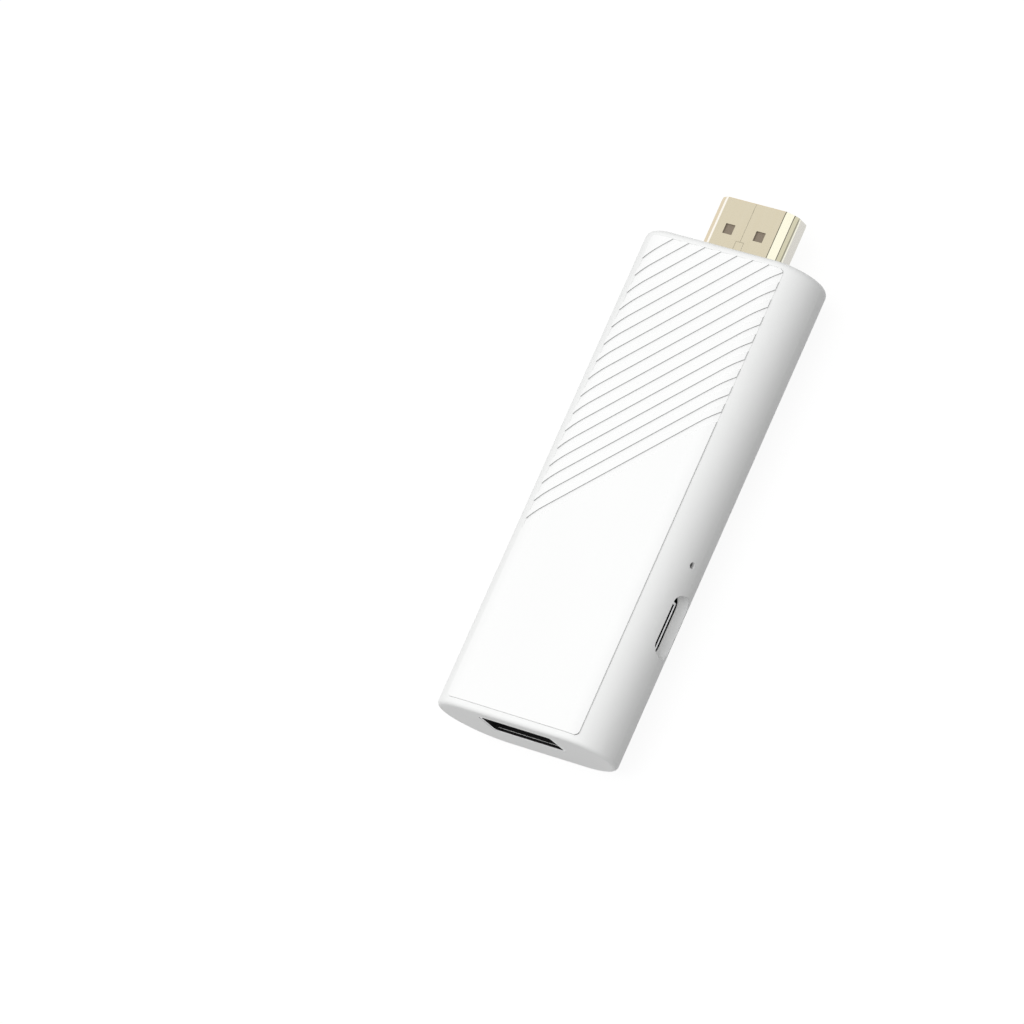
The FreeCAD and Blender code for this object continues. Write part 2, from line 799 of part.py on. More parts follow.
def hdmi_rear_spacer(contacts):
    """The comb behind the plug that holds the contact tails on their pitch."""
    half = (lower_contact_count - 1) / 2 * plug_contact_pitch + spacer_margin
    body = block(plug_back_x - spacer_length, plug_back_x, -half, half,
                 board_bottom - 2 * plug_contact_thickness, board_top + 4 * plug_contact_thickness)
    return body.cut(contacts)


def main_board():
    """The board, notched for the sunk USB-A socket and slotted for the plug's locks."""
    body = plate(board_start_x, board_end_x, -board_half_width, board_half_width, board_bottom,
                 board_top, board_corner)
    low = board_bottom - overrun
    high = board_top + overrun
    notch = usb_a_half_width + board_gap
    cuts = [block(board_start_x - overrun, usb_a_back_x + board_gap, -notch, notch, low, high)]
    for side in (1, -1):
        middle = side * (plug_width / 2 - plug_metal / 2)
        half = plug_metal / 2 + board_gap
        cuts.append(block(plug_back_x - plug_lock_length - board_gap, board_end_x + overrun,
                          middle - half, middle + half, low, high))
    for x, y in screw_places:
        cuts.append(upright(x, y, low, screw_hole_radius, high - low))
    for x, y in pin_places:
        cuts.append(upright(x, y, low, pin_hole_radius, high - low))
    return body.cut(cuts)


def board_screws():
    """Two pan-head screws with a straight slot each."""
    screws = []
    for x, y in screw_places:
        head = upright(x, y, board_top, screw_head_radius, screw_head_height)
        rim = [edge for edge in head.Edges if edge.BoundBox.ZMin > board_top + screw_head_height / 2]
        head = head.makeFillet(screw_head_height / 2, rim)
        shank = upright(x, y, board_top - screw_length, screw_shank_radius, screw_length)
        slot = block_at(x, y, board_top + screw_head_height - screw_slot_depth,
                        2 * screw_head_radius + overrun, screw_slot_width,
                        screw_slot_depth + overrun)
        screws.append(head.fuse(shank).removeSplitter().cut(slot))
    return screws


def usb_a_shell():
    """The USB-A socket's metal shell with its grip springs and four solder tabs."""
    outside = usb_a_block(usb_a_metal, usb_a_front_x, usb_a_back_x, usb_a_corner + usb_a_metal)
    inside = usb_a_block(0, usb_a_front_x - overrun, usb_a_back_x + overrun, usb_a_corner)
    shell = outside.cut(inside)
    cuts = []
    low = usb_a_bottom - overrun
    high = usb_a_top + overrun
    spring_start = usb_a_front_x + usb_a_spring_start
    spring_end = spring_start + usb_a_spring_length
    for y in usb_a_spring_places:
        for side in (1, -1):
            edge = y + side * usb_a_spring_width / 2
            cuts.append(block(spring_start, spring_end, edge - spring_slot / 2,
                              edge + spring_slot / 2, low, high))
        cuts.append(block(spring_end - spring_slot, spring_end, y - usb_a_spring_width / 2,
                          y + usb_a_spring_width / 2, low, high))
    shell = shell.cut(cuts)
    tabs = []
    for x in (usb_a_front_x + tab_from_mouth, usb_a_back_x - tab_from_back):
        for side in (1, -1):
            inner = side * (usb_a_half_width - usb_a_metal)
            outer = side * (usb_a_half_width + tab_width)
            tabs.append(block(x - tab_length / 2, x + tab_length / 2, min(inner, outer),
                              max(inner, outer), board_top, board_top + usb_a_metal))
    return joined([shell] + tabs)


def usb_a_contacts():
    """Four contacts under the tongue, led down to the board behind the socket."""
    metal = usb_a_contact_thickness
    under = usb_a_centre_height + usb_a_tongue_lift
    low = under - metal / 2
    front = usb_a_front_x + usb_a_tongue_recess + usb_a_contact_recess
    contacts = []
    for y in usb_a_contact_places:
        outline = ((front, low), (usb_a_back_x, low), (usb_a_back_x, board_top),
                   (usb_a_back_x + metal + usb_a_foot, board_top),
                   (usb_a_back_x + metal + usb_a_foot, board_top + metal),
                   (usb_a_back_x + metal, board_top + metal), (usb_a_back_x + metal, low + metal),
                   (front, low + metal))
        contacts.append(side_profile(outline, y, usb_a_contact_width))
    return contacts


def usb_a_tongue(contacts):
    """The socket's moulding: a block that closes the back and a tongue that carries the contacts."""
    block_start = usb_a_back_x - usb_a_block_length
    body = usb_a_block(0, block_start, usb_a_back_x, usb_a_corner)
    under = usb_a_centre_height + usb_a_tongue_lift
    tongue = block(usb_a_front_x + usb_a_tongue_recess, block_start + overrun, -usb_a_tongue_width / 2,
                   usb_a_tongue_width / 2, under, under + usb_a_tongue_thickness)
    return joined([body, tongue]).cut(contacts)


def micro_usb_shell():
    """The power socket's metal shell, flared at the mouth, with two feet on the board."""
    outside = micro_block(micro_metal, micro_mouth_y, micro_back_y)
    flare = micro_block(micro_metal + micro_flare, micro_mouth_y, micro_mouth_y + micro_flare_length)
    feet = []
    for side in (1, -1):
        outer = micro_x + side * (micro_mouth_width / 2 + micro_metal + micro_tab_reach)
        inner = outer - side * micro_tab_width
        for from_back in micro_tab_from_back:
            y = micro_back_y - from_back
            feet.append(block(min(inner, outer), max(inner, outer), y - micro_tab_length, y, board_top,
                              micro_centre_height - micro_mouth_height / 2 - micro_metal / 2))
    inside = micro_block(0, micro_mouth_y - overrun, micro_back_y + overrun)
    return joined([outside, flare] + feet).cut(inside)


def micro_usb_contacts():
    """Five contacts on the tongue, led down to the board behind the socket."""
    metal = micro_contact_thickness
    low = micro_centre_height + micro_tongue_lift - metal / 2
    front = micro_mouth_y + micro_tongue_recess + micro_contact_recess
    contacts = []
    for index in range(micro_contact_count):
        x = micro_x + (index - (micro_contact_count - 1) / 2) * micro_contact_pitch
        outline = ((front, low), (micro_back_y, low), (micro_back_y, board_top),
                   (micro_back_y + metal + micro_foot, board_top),
                   (micro_back_y + metal + micro_foot, board_top + metal),
                   (micro_back_y + metal, board_top + metal), (micro_back_y + metal, low + metal),
                   (front, low + metal))
        contacts.append(end_profile(outline, x, micro_contact_width))
    return contacts


def micro_usb_tongue(contacts):
    """The power socket's moulding."""
    block_start = micro_back_y - micro_block_length
    body = micro_block(0, block_start, micro_back_y)
    under = micro_centre_height + micro_tongue_lift
    tongue = block(micro_x - micro_tongue_width / 2, micro_x + micro_tongue_width / 2,
                   micro_mouth_y + micro_tongue_recess, micro_back_y - micro_contact_thickness, under,
                   under + micro_tongue_thickness)
    return joined([body, tongue]).cut(contacts)


def switch_plunger():
    """The reset switch's button: a stem through the plate and a flange behind it."""
    plate_back = switch_front_y + switch_plate
    flange_front = plate_back + flange_gap
    stem = crosswise(pinhole_x, pinhole_height, switch_front_y - stem_reach,
                     flange_front + flange_thickness / 2, stem_radius)
    flange = crosswise(pinhole_x, pinhole_height, flange_front, flange_front + flange_thickness,
                       flange_radius)
    return stem.fuse(flange).removeSplitter()


def switch_well_depth():
    """How far the well in the switch's base goes in from the plate."""
    return flange_gap + flange_thickness + button_travel + dome_gap + dome_height + dome_metal


def switch_base():
    """The switch's moulding, with a round well for the flange and the dome."""
    front = switch_front_y + switch_plate
    body = block(pinhole_x - switch_width / 2, pinhole_x + switch_width / 2, front, switch_back_y,
                 board_top, board_top + switch_height)
    well = crosswise(pinhole_x, pinhole_height, front - overrun, front + switch_well_depth(),
                     flange_radius + flange_clearance)
    return body.cut(well)


def switch_dome():
    """The snap dome: a shallow sheet cap standing on the floor of the well."""
    floor = switch_front_y + switch_plate + switch_well_depth()
    ball = (dome_radius ** 2 + dome_height ** 2) / (2 * dome_height)
    centre = Vector(pinhole_x, floor - dome_height + ball, pinhole_height)
    cap = Part.makeSphere(ball, centre).cut(Part.makeSphere(ball - dome_metal, centre))
    return cap.common(crosswise(pinhole_x, pinhole_height, floor - 2 * dome_height, floor,
                                dome_radius * 2))


def switch_frame():
    """The switch's metal plate with a hole for the stem and two side arms."""
    hole = stem_radius + stem_clearance
    face = block(pinhole_x - switch_width / 2, pinhole_x + switch_width / 2, switch_front_y,
                 switch_front_y + switch_plate, board_top, board_top + switch_height)
    arms = []
    for side in (1, -1):
        inner = pinhole_x + side * switch_width / 2
        outer = inner + side * switch_plate
        arms.append(block(min(inner, outer), max(inner, outer), switch_front_y,
                          switch_front_y + switch_arm_length, board_top,
                          board_top + switch_arm_height))
    frame = joined([face] + arms)
    return frame.cut(crosswise(pinhole_x, pinhole_height, switch_front_y - overrun,
                               switch_front_y + switch_plate + overrun, hole))


def switch_terminals():
    """The feet behind the switch, soldered to the board."""
    feet = []
    for index in range(terminal_count):
        x = pinhole_x + (index - (terminal_count - 1) / 2) * terminal_pitch
        feet.append(block(x - terminal_width / 2, x + terminal_width / 2, switch_back_y,
                          switch_back_y + terminal_reach, board_top, board_top + terminal_thickness))
    return feet


def ball_grid_chip(x, y, length, width, thickness):
    """A chip on a low field of solder balls, taken as one thin slab set in from its edge."""
    field = block_at(x, y, board_top, length - 2 * ball_field_inset, width - 2 * ball_field_inset,
                     ball_height)
    package = block_at(x, y, board_top + ball_height, length, width, thickness)
    mark = upright(x - length / 2 + mark_inset, y + width / 2 - mark_inset,
                   board_top + ball_height + thickness - mark_depth, mark_radius, overrun)
    return field.fuse(package).removeSplitter().cut(mark)


def leaded_chip(x, y, length, width, thickness, lead_count):
    """A small chip with leads along its two long sides."""
    clear = pin_lead_thickness
    pieces = [block_at(x, y, board_top + clear, length, width, thickness - clear)]
    for index in range(lead_count):
        place = x + (index - (lead_count - 1) / 2) * length / lead_count
        pieces.append(block_at(place, y, board_top, pin_lead_width, width + 2 * pin_lead_reach,
                               2 * pin_lead_thickness))
    return joined(pieces)


def end_capped(x, y, size, turned):
    """A two-ended part whose metal ends stand a little proud of its middle."""
    length, width, height = size if not turned else (size[1], size[0], size[2])
    cap = end_cap_length
    pieces = [block_at(x, y, board_top, length, width, height - end_cap_proud)]
    for side in (1, -1):
        if turned:
            pieces.append(block_at(x, y + side * (width - cap) / 2, board_top, length, cap, height))
        else:
            pieces.append(block_at(x + side * (length - cap) / 2, y, board_top, cap, width, height))
    return joined(pieces)


def power_inductors():
    """Square moulded inductors with round corners and a raised round top."""
    solids = []
    x = board_start_x + inductor_inlet
    for y in inductor_rows:
        low = plate_at(x, y, board_top, inductor_size, inductor_size,
                       inductor_height - inductor_top_rise, inductor_corner)
        top = upright(x, y, board_top, inductor_size / 2 - inductor_winding_inset, inductor_height)
        solids.append(joined([low, top]))
    return solids


def row_of(count, x, y, along):
    """Evenly spaced places in a row that starts at x, y."""
    step = (small_part_pitch, 0) if along == "x" else (0, small_part_pitch)
    return [(x + index * step[0], y + index * step[1]) for index in range(count)]


def ceramic_capacitors():
    """Small capacitors in one column by the processor's shield and one behind the USB-A socket."""
    places = []
    for count, inlet, y in zip(ceramic_counts, ceramic_inlets, ceramic_starts):
        places += row_of(count, board_start_x + inlet, y, "y")
    return [end_capped(x, y, ceramic_size, True) for x, y in places]


def chip_resistors():
    """Rows of small resistors between the shield and the right edge of the board."""
    beside = shield_y - shield_width / 2 - resistor_row_gap
    places = row_of(resistor_row_count, resistor_row_x, beside, "x")
    places += row_of(resistor_column_count, board_end_x - resistor_column_inlet, resistor_column_y, "y")
    return [end_capped(x, y, resistor_size, True) for x, y in places]


def bulk_capacitors():
    """Larger capacitors beside the USB-A socket."""
    return [end_capped(board_start_x + inlet, side * bulk_y, bulk_size, False)
            for inlet in bulk_inlets for side in (1, -1)]


def main_crystal():
    """The processor's crystal in its metal-lidded package."""
    x = crystal_x
    y = crystal_y
    length, width, height = crystal_size
    low = plate_at(x, y, board_top, length, width, crystal_base_height, crystal_corner)
    lid = plate_at(x, y, board_top, length - 2 * crystal_lid_inset, width - 2 * crystal_lid_inset,
                   height, crystal_corner)
    return joined([low, lid])


def line_chokes():
    """The filters in the HDMI pairs, in a row beside the plug's tails."""
    first = -(choke_count - 1) / 2 * choke_pitch
    x = board_end_x - choke_inlet
    return [end_capped(x, first + index * choke_pitch, choke_size, True)
            for index in range(choke_count)]


def surge_arrays():
    """The surge protection behind the filters."""
    first = -(surge_count - 1) / 2 * surge_pitch
    length, width, height = surge_size
    x = board_end_x - surge_inlet
    return [leaded_chip(x, first + index * surge_pitch, length, width - 2 * pin_lead_reach, height, 2)
            for index in range(surge_count)]


def regulators():
    """Three small voltage regulators."""
    length, width, height = regulator_size
    front = board_end_x - front_regulator_inlet
    places = ((front, board_half_width - regulator_from_edge), (front, inner_regulator_y),
              (board_start_x + rear_regulator_inlet, rear_regulator_y))
    return [leaded_chip(x, y, length, width - 2 * pin_lead_reach, height, 3) for x, y in places]


def shield_frame():
    """The soldered fence around the processor and memory."""
    outside = block_at(shield_x, shield_y, board_top, shield_length, shield_width, shield_height)
    inside = block_at(shield_x, shield_y, board_top - overrun, shield_length - 2 * shield_metal,
                      shield_width - 2 * shield_metal, shield_height + overrun - shield_metal)
    window = block_at(shield_x, shield_y, board_top, shield_length - 2 * shield_rim,
                      shield_width - 2 * shield_rim, shield_height + overrun)
    return outside.cut([inside, window])


def shield_lid():
    """The clip-on lid over the fence."""
    grown = 2 * shield_metal
    outside = block_at(shield_x, shield_y, shield_top - lid_skirt, shield_length + grown,
                       shield_width + grown, lid_skirt + shield_metal)
    inside = block_at(shield_x, shield_y, shield_top - lid_skirt - overrun, shield_length,
                      shield_width, lid_skirt + overrun)
    return outside.cut(inside)


def lower_thermal_pad():
    """The pad between the processor and the lid."""
    low = board_top + ball_height + processor_thickness
    return block_at(processor_x, shield_y, low, pad_size, processor_width - 2 * lower_pad_inset,
                    shield_top - low)


def upper_thermal_pad():
    """The pad between the lid and the heat spreader."""
    return block_at(shield_x, shield_y, lid_top, shield_length - 2 * upper_pad_inset,
                    shield_width - 2 * upper_pad_inset, upper_pad_thickness)


def heat_spreader():
    """The aluminium plate under the cover, with low fins between the cover's posts."""
    pieces = [plate_at(spreader_x, spreader_y, spreader_bottom, spreader_length, spreader_width,
                       spreader_thickness, cover_corner)]
    pitch = (spreader_width - 2 * spreader_fin_width) / spreader_fin_count
    first = spreader_y - (spreader_fin_count - 1) / 2 * pitch
    for index in range(spreader_fin_count):
        pieces.append(block_at(spreader_x, first + index * pitch, spreader_bottom, spreader_fin_length,
                               spreader_fin_width, spreader_thickness + spreader_fin_height))
    return joined(pieces)


def wifi_board():
    """The wireless module's own small board."""
    return block_at(wifi_x, wifi_y, board_top, wifi_length, wifi_width, wifi_board_thickness)


def wifi_can():
    """The wireless module's metal can, closed above and open below."""
    low = board_top + wifi_board_thickness
    length = wifi_length - 2 * wifi_can_inset
    width = wifi_width - 2 * wifi_can_inset
    outside = block_at(wifi_x, wifi_y, low, length, width, wifi_can_height)
    inside = block_at(wifi_x, wifi_y, low - overrun, length - 2 * wifi_can_metal,
                      width - 2 * wifi_can_metal, wifi_can_height + overrun - wifi_can_metal)
    return outside.cut(inside)


def wifi_antenna():
    """A stamped strip on two legs."""
    top = board_top + antenna_height
    end = antenna_x + antenna_length
    strip = block(antenna_x, end, antenna_y - antenna_width / 2, antenna_y + antenna_width / 2,
                  top - antenna_metal, top)
    legs = []
    for x in (antenna_x, antenna_x + antenna_leg_spacing):
        legs.append(block(x, x + antenna_metal, antenna_y - antenna_width / 2,
                          antenna_y + antenna_width / 2, board_top, top))
    return joined([strip] + legs)


def memory_chips():
    """Two memory chips side by side under the shield."""
    return [ball_grid_chip(memory_x, shield_y + side * memory_spacing / 2, memory_length,
                           memory_width, memory_thickness) for side in (1, -1)]


def export(name, shape):
    """Write one node, as one solid or as a group of separate solids."""
    solids = shape if isinstance(shape, list) else [shape]
    parts = []
    for solid in solids:
        parts += solid.Solids
    whole = parts[0] if len(parts) == 1 else Part.makeCompound(parts)
    for part in parts:
        if not part.isValid() or part.Volume <= 0:
            raise ValueError(name + " has a broken solid")
    whole.exportStep(os.path.join("parts", name + ".step"))
    print(name, len(parts), "solids", round(sum(part.Volume for part in parts), 2), "mm3")


def build():
    """Make every node and write it."""
    os.makedirs("parts", exist_ok=True)
    plug_pins = hdmi_contacts()
    usb_pins = usb_a_contacts()
    power_pins = micro_usb_contacts()
    nodes = {
        "lower_housing": lower_housing(),
        "top_cover": top_cover(),
        "hdmi_shell": hdmi_shell(),
        "hdmi_insulator": hdmi_insulator(plug_pins),
        "hdmi_contacts": plug_pins,
        "hdmi_rear_spacer": hdmi_rear_spacer(plug_pins),
        "main_board": main_board(),
        "board_screws": board_screws(),
        "usb_a_shell": usb_a_shell(),
        "usb_a_tongue": usb_a_tongue(usb_pins),
        "usb_a_contacts": usb_pins,
        "micro_usb_shell": micro_usb_shell(),
        "micro_usb_tongue": micro_usb_tongue(power_pins),
        "micro_usb_contacts": power_pins,
        "switch_plunger": switch_plunger(),
        "switch_base": switch_base(),
        "switch_dome": switch_dome(),
        "switch_frame": switch_frame(),
        "switch_terminals": switch_terminals(),
        "processor": ball_grid_chip(processor_x, shield_y, processor_size, processor_width,
                                    processor_thickness),
        "memory_chips": memory_chips(),
        "storage_chip": ball_grid_chip(storage_x, storage_y, storage_length, storage_width,
                                       storage_thickness),
        "power_chip": leaded_chip(board_start_x + power_chip_inlet, power_chip_y, power_chip_size,
                                  power_chip_size, power_chip_thickness, 6),
        "power_inductors": power_inductors(),
        "bulk_capacitors": bulk_capacitors(),
        "ceramic_capacitors": ceramic_capacitors(),
        "chip_resistors": chip_resistors(),
        "main_crystal": main_crystal(),
        "line_chokes": line_chokes(),
        "surge_arrays": surge_arrays(),
        "regulators": regulators(),
        "shield_frame": shield_frame(),
        "shield_lid": shield_lid(),
        "lower_thermal_pad": lower_thermal_pad(),
        "upper_thermal_pad": upper_thermal_pad(),
        "heat_spreader": heat_spreader(),
        "wifi_board": wifi_board(),
        "wifi_can": wifi_can(),
        "wifi_antenna": wifi_antenna(),
    }
    for name, shape in nodes.items():
        export(name, shape)


build()
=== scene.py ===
import math

import bpy
from mathutils import Matrix, Vector


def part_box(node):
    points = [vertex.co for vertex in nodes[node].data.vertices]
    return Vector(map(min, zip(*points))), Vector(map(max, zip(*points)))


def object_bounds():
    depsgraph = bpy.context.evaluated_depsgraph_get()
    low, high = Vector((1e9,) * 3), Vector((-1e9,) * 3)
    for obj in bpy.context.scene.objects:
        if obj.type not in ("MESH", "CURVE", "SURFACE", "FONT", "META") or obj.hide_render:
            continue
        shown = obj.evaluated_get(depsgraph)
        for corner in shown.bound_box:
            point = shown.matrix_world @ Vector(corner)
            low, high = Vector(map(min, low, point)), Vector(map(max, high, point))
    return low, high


bl_info = {
    "name": "Streaming Stick",
    "version": (1, 0, 0),
    "blender": (4, 5, 0),
    "location": "View3D > Sidebar > Stick",
    "description": "Finishes and a studio for a white streaming stick",
    "category": "Object",
}

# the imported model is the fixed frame, in metres
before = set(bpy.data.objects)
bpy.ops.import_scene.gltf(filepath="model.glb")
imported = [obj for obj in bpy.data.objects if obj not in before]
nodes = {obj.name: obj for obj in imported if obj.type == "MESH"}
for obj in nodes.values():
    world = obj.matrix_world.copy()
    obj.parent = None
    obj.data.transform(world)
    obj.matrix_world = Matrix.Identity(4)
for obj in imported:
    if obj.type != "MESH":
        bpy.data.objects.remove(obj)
cad_low, cad_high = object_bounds()
mm = 0.001

# the plug's folds: their distances from its middle line, and half the width of each line of painted
# shade along them
fold_at_face = 5.3 * mm
fold_at_shoulder = 6.45 * mm
fold_at_side = 6.9 * mm
face_fold_line = 0.06 * mm
shoulder_fold_line = 0.043 * mm
side_fold_line = 0.07 * mm
side_fold_shade = 0.5

# the painted highlights beside the folds: one lies across from the middle line, one at a height on the
# side
face_glint = 5.25 * mm
face_glint_half = 0.2 * mm
side_glint = 7.36 * mm
side_glint_half = 0.17 * mm

# the upward part of a facet's facing, from which it is the plug's chamfer, shoulder or flat face,
# or lies on its upper half, and the sideways part of its upright right side
chamfer_facing = 0.35
shoulder_facing = 0.66
face_facing = 0.95
upper_facing = 0.3
right_side_facing = -0.9

# the plug's plating: its light streaks, its gloss, and how soft its folds and fine lines are
plug_streak_share = 0.08
plug_roughness = (0.20, 0.30)
plug_fold_radius = 0.05 * mm
plated_line_depth = 0.0008 * mm

# the mouths of the sockets as width and height, and the painted highlight on the floor behind the lip
usb_a_mouth = (12.5 * mm, 5.05 * mm)
usb_a_sheet = 0.28 * mm
micro_mouth = (6.9 * mm, 1.85 * mm)
micro_mouth_middle = 7.95 * mm
shell_lip = 0.03 * mm
shell_edge_radius = 0.04 * mm
shell_roughness = (0.28, 0.6)
lip_glint = (0.40 * mm, 0.47 * mm)
level_facing = 0.9

# the pinhole's middle along the stick and up, its radius, and where its painted shade begins and is
# full
pinhole = (-12.145 * mm, 9.15 * mm)
pinhole_reach = 0.505 * mm
pinhole_shade_depth = (-15.1 * mm, -14.55 * mm)

# the sum of the two level parts of a facet's facing, below which it is one of the cover's steps, which
# carry painted shade
step_facing = -1.2

# copper traces and glass weave of the boards; the traces' sizes are in trace units
trace_unit = 1.2 * mm
trace_length = 3.4
trace_pitch = 0.5
trace_gap = 0.06
weave_pitch = 0.5 * mm
weave_share = 0.35
weave_shade = 0.8
trace_shade = 1.7
trace_height = 0.02 * mm
board_roughness = 0.35

# a two-ended part's caps face across the board by more than this, and its body is slightly cloudy
cap_facing = 0.5
ceramic_cloud_share = 0.9

# how fine the pits of a moulding and the lines of a sheet are, per metre, and the sheet's stretch
mould_grain = 3500.0
mould_cloud = 60.0
sheet_fineness = 5000.0
sheet_stretch = 0.03

# mouldings and sheets: how far their gloss strays to either side, and a sheet's darker streaks
moulding_specular = 0.4
moulding_gloss_spread = 0.04
sheet_gloss_spread = 0.05
sheet_streak_share = 0.93

# colours of small places and of the pieces inside the case; the glint creams are painted highlights,
# the mouth and pinhole colours painted shade
white = (1.0, 1.0, 1.0)
face_glint_cream = (1.0, 0.96, 0.88)
side_glint_cream = (0.90, 0.88, 0.74)
mouth_painted_shade = (0.03, 0.03, 0.031)
pinhole_painted_shade = (0.25, 0.25, 0.25)
cap_tin = (0.62, 0.61, 0.59)
contact_gold = (0.86, 0.62, 0.26)
switch_steel = (0.60, 0.60, 0.60)
switch_black = (0.02, 0.02, 0.021)
button_dark = (0.05, 0.05, 0.05)
chip_black = (0.022, 0.022, 0.024)
ferrite_grey = (0.09, 0.09, 0.095)
capacitor_tan = (0.33, 0.22, 0.13)
resistor_black = (0.02, 0.02, 0.025)
screw_zinc = (0.52, 0.52, 0.54)
crystal_metal = (0.66, 0.63, 0.58)
nickel_silver = (0.66, 0.65, 0.61)
spreader_aluminium = (0.70, 0.71, 0.72)
thermal_grey = (0.28, 0.32, 0.36)

# the floor: how far it lies below the stick, what it gives back to plain light, and how it is seen
floor_gap = 0.03 * mm
floor_half_width = 3.0
floor_return = (0.22, 0.22, 0.22)
floor_paint = (0.10, 0.10, 0.10)
floor_glow = 0.92

# the lamp over the stick, in metres, and the nearest and farthest that the camera sees
lamp_place = (-0.05, 0.08, 0.94)
lamp_width = 1.0
camera_reach = (0.05, 20.0)


class StickFinishes(bpy.types.PropertyGroup):
    """The colours and gloss of the stick's finishes."""
    case_white: bpy.props.FloatVectorProperty(
        name="Case White", description="Colour of the lower housing", subtype="COLOR", size=3,
        min=0, max=1, default=(0.87, 0.875, 0.87))
    cover_white: bpy.props.FloatVectorProperty(
        name="Cover White", description="Colour of the ribbed cover", subtype="COLOR", size=3,
        min=0, max=1, default=(0.90, 0.903, 0.90))
    # the plug's facet tones are its gold plating with painted reflection that differs facet by facet;
    # the face's tone is partly the plating's own pale gold
    plug_face: bpy.props.FloatVectorProperty(
        name="Plug Face", description="Pale gold of the plug's flat face", subtype="COLOR", size=3,
        min=0, max=1, default=(0.695, 0.626, 0.461))
    plug_left_shoulder_plating_and_reflection: bpy.props.FloatVectorProperty(
        name="Plug Gold", description="Warmer gold of the plug's left shoulder", subtype="COLOR",
        size=3, min=0, max=1, default=(0.715, 0.596, 0.404))
    plug_right_shoulder_plating_and_reflection: bpy.props.FloatVectorProperty(
        name="Plug Shoulder", description="Cream of the shoulder that faces the light",
        subtype="COLOR", size=3, min=0, max=1, default=(1.0, 0.97, 0.77))
    plug_chamfer_plating_and_reflection: bpy.props.FloatVectorProperty(
        name="Plug Chamfer", description="Olive tone of the steeper facet", subtype="COLOR", size=3,
        min=0, max=1, default=(0.655, 0.62, 0.445))
    plug_side_plating_and_reflection: bpy.props.FloatVectorProperty(
        name="Plug Side", description="Silvery tone of the plug's upright sides", subtype="COLOR",
        size=3, min=0, max=1, default=(0.655, 0.637, 0.588))
    # painted shade along the plug's folds
    plug_fold_painted_shade: bpy.props.FloatVectorProperty(
        name="Plug Fold", description="Dark line at each fold of the plug's sheet", subtype="COLOR",
        size=3, min=0, max=1, default=(0.12, 0.11, 0.07))
    moulding_taupe: bpy.props.FloatVectorProperty(
        name="Plug Moulding", description="Moulding inside the plug", subtype="COLOR", size=3,
        min=0, max=1, default=(0.25, 0.205, 0.155))
    socket_tin: bpy.props.FloatVectorProperty(
        name="Socket Tin", description="Tin plating of the sockets' shells", subtype="COLOR", size=3,
        min=0, max=1, default=(0.86, 0.86, 0.87))
    socket_black: bpy.props.FloatVectorProperty(
        name="Socket Black", description="Mouldings inside the sockets", subtype="COLOR", size=3,
        min=0, max=1, default=(0.045, 0.045, 0.047))
    board_green: bpy.props.FloatVectorProperty(
        name="Board Green", description="Solder resist of the boards", subtype="COLOR", size=3,
        min=0, max=1, default=(0.012, 0.10, 0.045))
    # painted shade for the cover's upright steps
    step_shade: bpy.props.FloatVectorProperty(
        name="Step Shade", description="Shade of the cover's small upright steps", subtype="COLOR",
        size=3, min=0, max=1, default=(0.405, 0.405, 0.405))
    case_roughness: bpy.props.FloatProperty(
        name="Case Roughness", description="Roughness of the moulded case", subtype="FACTOR",
        min=0, max=1, default=0.42)
    cover_roughness: bpy.props.FloatProperty(
        name="Cover Roughness", description="Roughness of the ribbed cover", subtype="FACTOR",
        min=0, max=1, default=0.36)
    edge_radius: bpy.props.FloatProperty(
        name="Edge Radius", description="How softly the moulded edges catch light",
        subtype="DISTANCE", unit="LENGTH", min=0, max=1 * mm, default=0.08 * mm)


class StickStudio(bpy.types.PropertyGroup):
    """The camera's place and the light of the studio."""
    azimuth: bpy.props.FloatProperty(
        name="Azimuth", description="Direction of the camera round the stick", subtype="ANGLE",
        default=math.radians(-20.7418))
    elevation: bpy.props.FloatProperty(
        name="Elevation", description="Height of the camera above the horizon", subtype="ANGLE",
        default=math.radians(54.6163))
    roll: bpy.props.FloatProperty(
        name="Roll", description="Turn of the camera about its own line of sight", subtype="ANGLE",
        default=math.radians(-48.7157))
    distance: bpy.props.FloatProperty(
        name="Distance", description="From the camera to the point it looks at",
        subtype="DISTANCE", unit="LENGTH", min=0.1, default=1197.7 * mm)
    target: bpy.props.FloatVectorProperty(
        name="Target", description="The point in the middle of the picture", subtype="XYZ", size=3,
        unit="LENGTH", default=(-13.098 * mm, 14.585 * mm, 13.424 * mm))
    lens: bpy.props.FloatProperty(
        name="Focal Length", description="Focal length in millimetres on a 36 mm sensor",
        min=10, default=286.184)
    key_level: bpy.props.FloatProperty(
        name="Key Light", description="Power of the large light overhead, in watts", min=0,
        default=5.0)
    room_level: bpy.props.FloatProperty(
        name="Room Light", description="Strength of the even light all round", min=0, default=0.68)


def blank_material(name):
    """A material with its shader, its tree and the place on the stick that its patterns read."""
    material = bpy.data.materials.new(name)
    material.use_nodes = True
    tree = material.node_tree
    shader = tree.nodes["Principled BSDF"]
    place = tree.nodes.new("ShaderNodeTexCoord").outputs["Object"]
    return material, tree, shader, place


def math_node(tree, operation, first, second=None):
    """One Math node; each input is a socket or a number."""
    node = tree.nodes.new("ShaderNodeMath")
    node.operation = operation
    for socket, value in zip(node.inputs, (first, second)):
        if isinstance(value, bpy.types.NodeSocket):
            tree.links.new(value, socket)
        elif value is not None:
            socket.default_value = value
    return node.outputs[0]


def remap(tree, value, low, high):
    """Turns 0..1 into low..high."""
    node = tree.nodes.new("ShaderNodeMapRange")
    tree.links.new(value, node.inputs["Value"])
    node.inputs["To Min"].default_value = low
    node.inputs["To Max"].default_value = high
    return node.outputs["Result"]


